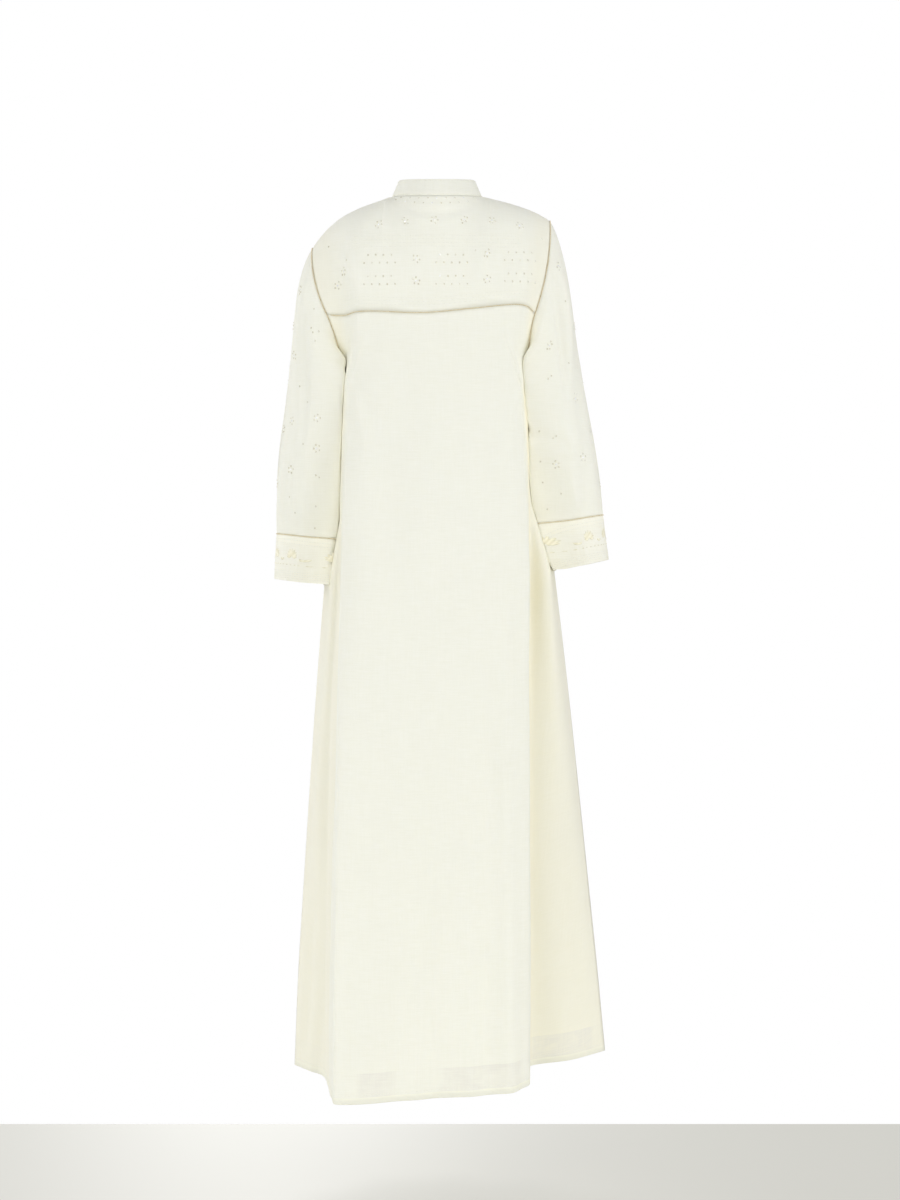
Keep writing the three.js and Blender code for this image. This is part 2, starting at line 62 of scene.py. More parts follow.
ARMPIT_Z = -292  # the lowest point of both armholes
ARMPIT_DIP = 45  # how far below that the grid line of the armpits dips in front and behind
NECK_SHARE = 0.46  # up to this share of the half width the top edge is the neckline
SLIT_HALF = 0.5  # half of the closed neck slit's width
SLIT_END = 0.67  # share of the way from the neckline to the chest line that the slit runs
PLACKET_WIDTH = 34
PLACKET_LIFT, PLACKET_EDGE_LIFT = 1.6, 0.5  # how far off the front panel the band lies

NECK = {"side": 75, "back": 74, "front": 86, "z": 3, "back_drop": 7, "front_drop": 50}
COLLAR_TOP = {"side": 63.5, "back": 68, "front": 75, "z": 30, "back_drop": 7.5, "front_drop": 52}
SHOULDER = {"right": {"x": -186, "z": -35, "bow": 5}, "left": {"x": 205, "z": -80, "bow": 17}}

# The yoke seam and the chest line at the same height in front. u is the share of the half width.
YOKE_SEAM = [
    {"u": -1, "x": -159, "y": 82, "z": -197},
    {"u": -0.88, "x": -146, "y": 97, "z": -187},
    {"u": -0.74, "x": -124, "y": 106, "z": -185},
    {"u": -0.4, "x": -66, "y": 112, "z": -191},
    {"u": 0.1, "x": 22, "y": 114, "z": -199},
    {"u": 0.58, "x": 104, "y": 109, "z": -196},
    {"u": 0.74, "x": 131, "y": 103, "z": -197},
    {"u": 0.88, "x": 150, "y": 88, "z": -201},
    {"u": 1, "x": 178, "y": 76, "z": -198},
]
CHEST_LINE = [
    {"u": -1, "x": -160, "y": -74, "z": -192},
    {"u": -0.74, "x": -122, "y": -104, "z": -190},
    {"u": -0.4, "x": -66, "y": -114, "z": -190},
    {"u": 0, "x": 2, "y": -116, "z": -191},
    {"u": 0.4, "x": 70, "y": -114, "z": -192},
    {"u": 0.74, "x": 130, "y": -102, "z": -194},
    {"u": 1, "x": 174, "y": -74, "z": -197},
]
# The cloth over the shoulder: how full it is, where 2 is a true ellipse, and how far it bows out.
OVER_SHOULDER = [
    {"u": 0, "power": 2, "bow": 0},
    {"u": 0.24, "power": 2.2, "bow": 1},
    {"u": 0.46, "power": 2.35, "bow": 11},
    {"u": 0.74, "power": 2.3, "bow": 4},
    {"u": 1, "power": 2, "bow": 0},
]
# The heights at which each fold line of the skirt has its place: armpit, waist, hip, calf and hem,
# as shares of the way down.
HEIGHTS = [0, 0.146, 0.285, 0.835, 1]


def fold(name, u, x, y, hem):
    """A fold line: its share of the half width, its x and y at each of HEIGHTS and its lowest z."""
    return {"fold": name, "u": u, "x": x, "y": y, "hem": hem}


BACK_FOLDS = [
    fold("right seam", -1, [-149, -165, -196, -264, -282], [-8, -36, -42, -58, -62], -1414),
    fold("right flank", -0.88, [-150, -154.5, -187, -217, -222], [28, 43, 50, 0, -10], -1420),
    fold("right valley", -0.76, [-147, -151.5, -151, -153, -155], [61, 68, 50, 26, 20], -1424),
    fold("right tuck", -0.68, [-143, -149.5, -147, -143, -142], [75, 88, 90, 86, 86], -1426),
    fold("right edge", -0.61, [-139, -146, -149, -149, -148], [78, 98, 120, 146, 150], -1427),
    fold("right ridge", -0.57, [-136, -143, -146, -144, -143], [85, 107, 133, 165, 170], -1428),
    fold("right back", -0.4, [-100, -106, -110, -112, -112], [101, 120, 144, 184, 194], -1434),
    fold("centre", 0, [0, 0, 0, 0, 0], [107, 124, 150, 198, 208], -1439),
    fold("left back", 0.4, [98, 103, 108, 112, 112], [103, 121, 148, 216, 230], -1443),
    fold("left ridge", 0.57, [137, 147, 152, 158, 159], [87, 108, 136, 226, 243], -1441),
    fold("left edge", 0.62, [146, 150, 154, 163, 164], [83, 98, 120, 196, 208], -1440),
    fold("left valley", 0.74, [153, 156, 160, 180, 184], [68, 71, 70, 60, 46], -1438),
    fold("left flank", 0.88, [152, 154.5, 174.5, 206, 212], [26, 42, 50, 4, -4], -1437),
    fold("left seam", 1, [151, 164, 188, 231, 239], [-8, -42, -54, -52, -52], -1436),
]
FRONT_FOLDS = [
    fold("right seam", -1, [-149, -165, -196, -264, -282], [-8, -36, -42, -58, -62], -1414),
    fold("right hip", -0.8, [-146, -156, -184, -238, -246], [-56, -82, -98, -128, -134], -1420),
    fold("right hollow", -0.58, [-114, -122, -138, -160, -164], [-92, -104, -118, -148, -152], -1426),
    fold("right pleat", -0.4, [-82, -88, -98, -122, -126], [-104, -114, -130, -214, -226], -1432),
    fold("right dip", -0.2, [-42, -44, -50, -62, -64], [-110, -119, -132, -186, -194], -1434),
    fold("centre", 0, [0, 0, 0, 2, 2], [-113, -124, -142, -222, -236], -1436),
    fold("left dip", 0.2, [42, 44, 50, 60, 62], [-110, -119, -134, -196, -206], -1438),
    fold("left pleat", 0.4, [82, 88, 98, 116, 120], [-104, -114, -130, -208, -218], -1438),
    fold("left hollow", 0.58, [114, 122, 136, 154, 158], [-92, -104, -116, -142, -146], -1438),
    fold("left hip", 0.8, [147, 155, 178, 206, 212], [-56, -82, -96, -118, -122], -1437),
    fold("left seam", 1, [151, 164, 188, 231, 239], [-8, -42, -54, -52, -52], -1436),
]
FACES = {
    "back": {"sign": 1, "seam": YOKE_SEAM, "folds": BACK_FOLDS},
    "front": {"sign": -1, "seam": CHEST_LINE, "folds": FRONT_FOLDS},
}

# A sleeve leans on the body down to the height called free. Its sections below the armhole have
# their middle, half width, half depth and tip in degrees.
SLEEVES = {
    "right": {
        "away": -1,
        "free": -640,
        "sections": [
            {"name": "upper arm", "x": -198, "y": 12, "z": -336, "width": 46, "depth": 60, "tip": 9},
            {"name": "elbow", "x": -206, "y": 14, "z": -420, "width": 53.5, "depth": 55, "tip": 9},
            {"name": "forearm", "x": -215, "y": 12, "z": -484, "width": 54, "depth": 48, "tip": 10},
            {"name": "cuff top", "x": -223, "y": 8, "z": -529, "width": 51.5, "depth": 42, "tip": 10},
            {"name": "cuff end", "x": -239.5, "y": 4, "z": -602, "width": 44.5, "depth": 48, "tip": 12},
        ],
    },
    "left": {
        "away": 1,
        "free": -680,
        "sections": [
            {"name": "upper arm", "x": 200.5, "y": 12, "z": -340, "width": 47, "depth": 60, "tip": 8},
            {"name": "elbow", "x": 208, "y": 14, "z": -432, "width": 51, "depth": 56, "tip": 7},
            {"name": "forearm", "x": 212, "y": 12, "z": -505, "width": 51.5, "depth": 49, "tip": 7},
            {"name": "cuff top", "x": 214.5, "y": 8, "z": -557, "width": 50, "depth": 43, "tip": 7},
            {"name": "cuff end", "x": 225, "y": 4, "z": -630, "width": 43.5, "depth": 48, "tip": 7.5},
        ],
    },
}
# How the sleeve leaves the armhole, by turns round it: 0 shoulder, 0.25 back, 0.5 armpit.
LEAVES_ARMHOLE = [
    {"turn": 0, "away": 0.5, "back": 0, "down": 0.87, "pull": 190},
    {"turn": 0.25, "away": 0.8, "back": 0.3, "down": 0.52, "pull": 120},
    {"turn": 0.38, "away": 0.3, "back": 0.34, "down": 0.89, "pull": 70},
    {"turn": 0.5, "away": 0.12, "back": 0, "down": 0.99, "pull": 50},
    {"turn": 0.62, "away": 0.6, "back": -0.24, "down": 0.76, "pull": 90},
    {"turn": 0.75, "away": 0.8, "back": -0.3, "down": 0.52, "pull": 120},
    {"turn": 1, "away": 0.5, "back": 0, "down": 0.87, "pull": 190},
]
# How full a section is by turns, where 1 is a true ellipse and less is boxier: the side towards the
# body is flattened against it.
SLEEVE_FULLNESS = [(0.22, 1), (0.3, 0.42), (0.46, 0.42), (0.54, 0.72), (0.7, 0.72), (0.76, 1)]
# Long soft hollows: where round the sleeve, how deep, how wide in turns, and between which sections.
SLEEVE_HOLLOWS = [
    {"turn": 0.12, "depth": 4.5, "width": 0.05, "from": 0.3, "to": 2.4},
    {"turn": 0.3, "depth": 5, "width": 0.06, "from": 0.8, "to": 3.6},
    {"turn": 0.82, "depth": 5, "width": 0.06, "from": 0.5, "to": 3.2},
]



def crease(start, end, bow, width, rise):
    """A crease from one place on a piece to another. bow is how far its middle swings aside, and
    rise is up for a ridge and down for a trough."""
    return {"start": start, "end": end, "bow": bow, "width": width, "rise": rise}


# Places are the distance across the cloth from its centre line and the height, unless a table
# says otherwise.
BACK_CREASES = [
    crease((4, -980), (-8, -1900), 4, 16, -4.5),
    crease((-46, -1060), (-54, -1820), -4, 15, 3.0),
    crease((-80, -800), (-104, -1900), 6, 17, -5.0),
    crease((-112, -640), (-128, -1900), 3, 12, 3.2),
    crease((56, -1080), (76, -1860), -5, 20, -3.6),
    crease((104, -820), (122, -1880), 6, 22, 3.0),
    crease((-70, -205), (-86, -640), -7, 26, -2.4),
    crease((56, -210), (74, -720), 9, 30, -2.6),
    crease((-8, -230), (2, -900), 6, 36, 2.0),
    crease((118, -215), (126, -470), 8, 15, 2.2),
    crease((-118, -215), (-122, -430), -8, 13, 2.4),
    crease((158, -290), (112, -430), -8, 11, 2.6),
    crease((-156, -285), (-118, -405), 8, 10, 2.6),
    crease((-108, -560), (-116, -1010), 5, 20, 2.0),
    crease((-176, -640), (-226, -1432), 8, 24, -4.0),
    crease((-196, -780), (-262, -1430), -6, 18, 3.6),
    crease((-250, -560), (-338, -1426), 12, 24, 5.5),
    crease((-262, -700), (-396, -1420), -10, 24, -5.0),
    crease((205, -700), (268, -1444), -8, 24, -4.5),
    crease((188, -820), (222, -1444), 6, 17, 3.6),
    crease((240, -640), (318, -1442), -9, 22, 4.5),
    crease((262, -720), (398, -1440), 12, 24, 5.0),
    crease((280, -900), (440, -1440), 8, 20, -4.5),
]
FRONT_CREASES = [
    crease((-40, -215), (-58, -620), -7, 26, 2.6),
    crease((48, -220), (60, -690), 8, 28, 2.4),
    crease((2, -520), (-6, -1436), 10, 24, -3.2),
    crease((-96, -205), (-112, -470), 7, 16, -2.6),
    crease((104, -215), (116, -500), -7, 16, -2.4),
    crease((-150, -285), (-96, -420), 9, 11, 2.8),
    crease((152, -290), (100, -440), -9, 11, 2.8),
    crease((-90, -700), (-104, -1432), 8, 22, 3.8),
    crease((88, -760), (98, -1438), -8, 22, 3.4),
    crease((-190, -640), (-214, -1424), 10, 26, 4.4),
    crease((184, -680), (206, -1438), -10, 24, 4.2),
    crease((-232, -720), (-330, -1420), 8, 24, -4.8),
    crease((226, -760), (306, -1438), -8, 22, -4.4),
    crease((-36, -1080), (-44, -1436), 4, 15, 2.8),
    crease((40, -1120), (46, -1438), -4, 16, 2.6),
]
# Where painted shade greys the single layer above the hem, for the dark inside that shows through it, as
# distances across from the centre line.
PAINTED_SHEER_SHADE_FADE = 14
PAINTED_SHEER_SHADE_PATCHES = {
    "back_panel": [(-440, -306), (-152, -2), (60, 134)],
    "front_panel": [(-310, -190), (-70, 84), (176, 300)],
}
# On the yoke a place is x and z, as seen from behind.
YOKE_CREASES = [
    crease((56, -24), (-62, -22), 12, 6.5, -1.7),
    crease((120, -54), (70, -100), -5, 13, -2.2),
    crease((-112, -52), (-104, -150), -6, 17, -3.0),
    crease((-74, -58), (-84, -176), 5, 15, 2.2),
    crease((148, -92), (118, -176), 6, 13, 2.4),
    crease((166, -112), (140, -190), -5, 10, -2.4),
    crease((20, -60), (26, -180), 6, 28, 1.6),
    crease((-150, -90), (-132, -178), -5, 11, 2.2),
]
# On a sleeve a place is how far round, in turns, and the height. Width is in millimetres.
SLEEVE_CREASES = {
    "right": [
        crease((0.185, -96), (0.2, -330), 0.012, 9, -5.5),
        crease((0.135, -110), (0.15, -300), -0.01, 11, 2.6),
        crease((0.26, -150), (0.3, -360), 0.02, 13, 2.2),
        crease((0.46, -300), (0.28, -352), 0.02, 8, 2.6),
        crease((0.45, -330), (0.22, -408), 0.03, 9, -2.6),
        crease((0.1, -380), (0.3, -430), -0.02, 9, 2.2),
        crease((0.12, -420), (0.17, -520), 0.015, 10, -2.4),
        crease((0.26, -430), (0.23, -522), -0.015, 10, 2.0),
        crease((0.56, -300), (0.78, -372), 0.03, 10, 2.8),
        crease((0.6, -380), (0.84, -438), -0.03, 10, -2.6),
        crease((0.88, -150), (0.86, -420), 0.02, 12, -2.8),
        crease((0.98, -250), (0.96, -500), 0.02, 14, 1.8),
    ],
    "left": [
        crease((0.32, -222), (0.47, -292), 0.02, 7, 3.0),
        crease((0.3, -262), (0.46, -318), -0.015, 7, -2.8),
        crease((0.34, -300), (0.47, -356), 0.015, 8, 2.6),
        crease((0.18, -140), (0.2, -420), 0.015, 11, -4.6),
        crease((0.11, -170), (0.13, -380), -0.01, 12, 2.2),
        crease((0.26, -330), (0.25, -545), 0.02, 13, 2.2),
        crease((0.13, -430), (0.16, -550), -0.02, 10, -2.6),
        crease((0.36, -430), (0.33, -548), 0.02, 10, -2.0),
        crease((0.56, -310), (0.8, -390), 0.03, 10, 2.8),
        crease((0.62, -400), (0.86, -460), -0.03, 10, -2.6),
        crease((0.88, -180), (0.86, -440), 0.02, 12, -2.8),
        crease((0.98, -260), (0.96, -520), 0.02, 14, 1.8),
    ],
}
SLEEVE_GIRTH = 330  # about how far round a sleeve is
CUFF_ROWS = 22  # steps of the grid down a cuff


def mix(a, b, t):
    return a + (b - a) * t


def clamp01(t):
    return np.clip(t, 0.0, 1.0)


def smooth(t):
    t = clamp01(t)
    return t * t * (3 - 2 * t)


def each(rows, name):
    return np.array([row[name] for row in rows], float)


def unit(vectors):
    return vectors / np.maximum(np.linalg.norm(vectors, axis=-1, keepdims=True), 1e-12)


def curve_weights(places, x):
    """How much the value at each of the rising places counts in a smooth curve, read at every x."""
    places, x = np.asarray(places, float), np.atleast_1d(np.asarray(x, float))
    last = len(places) - 1
    k = np.clip(np.searchsorted(places, x, side="left") - 1, 0, last - 1)
    span = places[k + 1] - places[k]
    t = (x - places[k]) / span
    weights = np.zeros((len(x), len(places)))
    row = np.arange(len(x))

    def add(place, amount):
        np.add.at(weights, (row, place), amount)

    def add_slope(place, amount):
        low, high = np.maximum(place - 1, 0), np.minimum(place + 1, last)
        share = amount * span / (places[high] - places[low])
        add(high, share)
        add(low, -share)

    add(k, 2 * t**3 - 3 * t**2 + 1)
    add(k + 1, 3 * t**2 - 2 * t**3)
    add_slope(k, t**3 - 2 * t**2 + t)
    add_slope(k + 1, t**3 - t**2)
    return weights


def through(places, values, x):
    """A smooth curve through values at rising places, read at every x."""
    return curve_weights(places, x) @ np.asarray(values, float)


def between(start, leave, end, arrive, t):
    """Curves from start to end that leave and arrive along the given pulls."""
    t = t[..., None]
    return (
        start * (2 * t**3 - 3 * t**2 + 1)
        + leave * (t**3 - 2 * t**2 + t)
        + end * (3 * t**2 - 2 * t**3)
        + arrive * (t**3 - t**2)
    )


def neck_point(ring, sign, share):
    """Points on the neckline or the collar's top edge, share running from -1 right to 1 left."""
    angle = np.asarray(share, float) * np.pi / 2
    cos = np.clip(np.cos(angle), 0, None)
    face = "back" if sign > 0 else "front"
    reach, drop = ring[face], ring[f"{face}_drop"]
    height = ring["z"] - drop * cos**1.5
    return np.stack([ring["side"] * np.sin(angle), sign * reach * cos, height], axis=-1)


def top_edge(face, u):
    """The top of a front or back: the neckline in the middle and a shoulder seam on each side."""
    neck = neck_point(NECK, face["sign"], np.clip(u / NECK_SHARE, -1, 1))
    t = clamp01((np.abs(u) - NECK_SHARE) / (1 - NECK_SHARE))
    right, left = SHOULDER["right"], SHOULDER["left"]
    end = {key: np.where(u < 0, right[key], left[key]) for key in ("x", "z", "bow")}
    x = mix(neck[:, 0], end["x"], t)
    z = mix(neck[:, 2], end["z"], t) + end["bow"] * 4 * t * (1 - t) * (0.4 + 1.2 * t)
    return np.stack([x, neck[:, 1], z], axis=-1)


def seam_line(face, u):
    weights = curve_weights(each(face["seam"], "u"), u)
    return np.stack([weights @ each(face["seam"], key) for key in "xyz"], axis=-1)


def sideways(u):
    """1 on the edge of an armhole or side seam, falling to 0 a little way in."""
    return clamp01((np.abs(u) - 0.74) / 0.26) ** 2


def skirt(face, u, down):
    """The skirt from the armpit level, down = 0, to the hem, down = 1: rows by columns of points."""
    folds, down = face["folds"], np.atleast_1d(down)
    across, along = curve_weights(each(folds, "u"), u), curve_weights(HEIGHTS, down)
    x = along @ each(folds, "x").T @ across.T
    y = along @ each(folds, "y").T @ across.T
    z = mix(ARMPIT_Z - ARMPIT_DIP * (1 - sideways(u)), across @ each(folds, "hem"), down[:, None])
    return np.stack([x, y, z], axis=-1)


def upper(face, u, part):
    """Above the armpit: part 0 is the top edge, 1 the yoke seam or chest line, 2 the armpit."""
    top, seam, side = top_edge(face, u), seam_line(face, u), sideways(u)
    late = mix(1, 2.1, side)
    part = np.atleast_1d(part)[:, None]
    shoulder = curve_weights(each(OVER_SHOULDER, "u"), np.abs(u))
    power = 2 / (shoulder @ each(OVER_SHOULDER, "power"))
    bow = np.sign(u) * (shoulder @ each(OVER_SHOULDER, "bow")) * np.sin(np.pi * np.minimum(part, 1))
    start = np.arcsin(clamp01(top[:, 1] / seam[:, 1]) ** (1 / power))
    angle = mix(start, np.pi / 2, np.minimum(part, 1))
    fall = 1 - (np.clip(np.cos(angle), 0, None) / np.cos(start)) ** power
    over = np.stack(
        [
            mix(top[:, 0], seam[:, 0], fall**late) + bow,
            seam[:, 1] * np.sin(angle) ** power,
            mix(top[:, 2], seam[:, 2], fall),
        ],
        axis=-1,
    )
    armpit = skirt(face, u, 0)[0]
    slant = (seam[:, 0] - top[:, 0]) * late / (top[:, 2] - seam[:, 2])
    leave = np.stack([slant, 0 * slant, 0 * slant - 1], axis=-1) * mix(120, 110, side)[:, None]
    arrive = unit(skirt(face, u, 0.01)[0] - armpit) * 120
    arrive = mix(arrive, np.array([0, -face["sign"] * 150, 0]), side[:, None])
    under = between(seam, leave, armpit, arrive, np.maximum(part - 1, 0) + 0 * u)
    return np.where(part[..., None] <= 1, over, under)


def body(face, u, rows):
    """A front or back by rows: 0 top edge, 1 yoke seam, 2 armpit and 3 hem."""
    face, rows = FACES[face], np.asarray(rows, float)
    return np.concatenate([upper(face, u, rows[rows <= 2]), skirt(face, u, rows[rows > 2] - 2)])


INNER_SIDE = 0.24  # how far it runs either side of the armpit line, in turns
PRESS_BODY = 120  # the body's sides lie further out than this,
PRESS_HEIGHTS = (-720, -220)  # between these heights
PRESS_TOP = -236  # and draw in the sleeve below this one
PRESS_GAP = 0.5  # what stays open between them
PRESS_WIDE, PRESS_TALL = 4, 5  # how far the body's surface is evened out
DRAW_MOST, LIFT_MOST = 24, 8  # how far one pass may move a point


def press(points, away, turn, bodies, free):
    """Lays the inner side of a sleeve against the body down to where it hangs free."""
    inner = np.abs(turn - 0.5) < INNER_SIDE
    near = np.concatenate([cloth.points.reshape(-1, 3) for cloth in bodies])
    low, high = PRESS_HEIGHTS
    near = near[(near[:, 0] * away > PRESS_BODY) & (near[:, 2] < high) & (near[:, 2] > low)]
    moved = points.copy()
    # The sleeve is drawn in twice, and then lifted off wherever it went too far.
    for drawn_in in (True, True, False):
        move = np.zeros(points.shape[:2])
        for j in range(1, len(points)):
            row = moved[j, inner]
            lowest, highest = row[:, 2].min() - 12, row[:, 2].max() + 12
            level = near[(near[:, 2] > lowest) & (near[:, 2] < highest)]
            if not len(level):
                continue
            off = level[None, :, 1:] - row[:, None, 1:]
            weight = np.exp(-((off[..., 0] / PRESS_WIDE) ** 2) - (off[..., 1] / PRESS_TALL) ** 2)
            total = weight.sum(axis=1)
            surface = weight @ (level[:, 0] * away) / np.maximum(total, 1e-9)
            gap = row[:, 0] * away - surface
            # A narrow gap closes, and a wide one stays.
            held = PRESS_GAP + np.maximum(gap - PRESS_GAP, 0) * smooth((gap - 8) / 32) ** 1.5
            from_armhole = np.linalg.norm(row - points[0, inner], axis=1)
            share = smooth((row[:, 2] - free) / 60) * smooth(from_armhole / 10)
            share = share * smooth((PRESS_TOP - row[:, 2]) / 40)
            if drawn_in:
                draw = np.clip(gap - held, -LIFT_MOST, DRAW_MOST) * share
            else:
                draw = np.clip(gap - held, -LIFT_MOST, 0)
            near_body = (total > 0.05) & (row[:, 2] < PRESS_TOP)
            move[j, inner] = np.where(near_body, draw, 0)
        for _ in range(4 if drawn_in else 0):
            move[1:-1] = (move[:-2] + 2 * move[1:-1] + move[2:]) / 4
            move = (np.roll(move, 1, axis=1) + 2 * move + np.roll(move, -1, axis=1)) / 4
            move[0] = 0
        moved[..., 0] -= away * move
    return moved


def steps(start, end, count):
    return np.linspace(start, end, count + 1)


# Grid lines of the cloth, finer where it is small and curved.
HALF = np.concatenate(
    [
        steps(0, NECK_SHARE, 26),
        steps(NECK_SHARE, 0.55, 7)[1:],
        steps(0.55, 0.8, 36)[1:],
        steps(0.8, 1, 15)[1:],
    ]
)
COLUMNS = np.concatenate([-HALF[:0:-1], HALF])
SLIT = SLIT_HALF / NECK["side"] * 2 / np.pi * NECK_SHARE
SLIT_COLUMNS = np.concatenate([-HALF[:0:-1], [-SLIT, SLIT], HALF[1:]])
UPPER = steps(0, 1, 36)
MIDDLE = steps(1, 2, 18)
SKIRT = steps(2, 3, 168)


def armhole(side):
    """The armhole once round, from the shoulder down the back to the armpit and up the front."""
    u = np.array([-1.0 if side == "right" else 1.0])
    rows = np.concatenate([UPPER, MIDDLE[1:]])
    down, up = upper(FACES["back"], u, rows)[:, 0], upper(FACES["front"], u, rows)[::-1, 0]
    return np.concatenate([down, up[1:-1]])


def turns(loop):
    """How far round the armhole each of its points is: 0 to 0.5 down the back, then up the front."""
    half = len(loop) // 2
    along = np.concatenate([[0], np.cumsum(np.linalg.norm(np.roll(loop, -1, axis=0) - loop, axis=1))])
    down = 0.5 * along[: half + 1] / along[half]
    up = 0.5 + 0.5 * (along[half + 1 : -1] - along[half]) / (along[-1] - along[half])
    return np.concatenate([down, up])


def section(sleeve, number, turn):
    """Points of the sleeve past its first section, rows by columns."""
    number = np.atleast_1d(np.asarray(number, float))
    weights = curve_weights(np.arange(1, len(sleeve["sections"]) + 1), number)
    keys = ("x", "y", "z", "width", "depth", "tip")
    read = {key: (weights @ each(sleeve["sections"], key))[:, None] for key in keys}
    angle, tip = turn * 2 * np.pi, np.radians(read["tip"])
    sink = 0
    for hollow in SLEEVE_HOLLOWS:
        across = (np.abs((turn - hollow["turn"] + 1.5) % 1 - 0.5)) / hollow["width"]
        along = clamp01((number - hollow["from"]) / (hollow["to"] - hollow["from"]))[:, None]
        sink = sink + hollow["depth"] * np.exp(-(across**2)) * np.sin(np.pi * along) ** 2
    full = np.interp(turn, *zip(*SLEEVE_FULLNESS))
    cos, sin = (np.sign(v) * np.abs(v) ** full for v in (np.cos(angle), np.sin(angle)))
    wide, deep = (read["width"] - sink) * cos, (read["depth"] - sink) * sin
    x = read["x"] + sleeve["away"] * wide * np.cos(tip)
    return np.stack([x, read["y"] + deep, read["z"] + wide * np.sin(tip)], axis=-1)


def sleeve_rows(side, numbers):
    """A sleeve by rows: 0 the armhole, 4 the cuff's top and 5 its end."""
    sleeve, loop = SLEEVES[side], armhole(side)
    turn, numbers = turns(loop), np.asarray(numbers, float)
    places = each(LEAVES_ARMHOLE, "turn")
    read = {key: through(places, each(LEAVES_ARMHOLE, key), turn) for key in LEAVES_ARMHOLE[0]}
    way = np.stack([sleeve["away"] * read["away"], read["back"], -read["down"]], axis=-1)
    leave = way * read["pull"][:, None]
    end = section(sleeve, 1, turn)[0]
    reach = np.linalg.norm(loop - end, axis=1)[:, None] * 0.9
    arrive = unit(section(sleeve, 1.02, turn)[0] - end) * reach
    head = between(loop, leave, end, arrive, numbers[numbers < 1][:, None] + 0 * turn)
    return np.concatenate([head, section(sleeve, numbers[numbers >= 1], turn)])


# ---- pieces of cloth as grids ----------------------------------------------------------------


CREASE_FADE = 22  # the creases die away this far from a seam


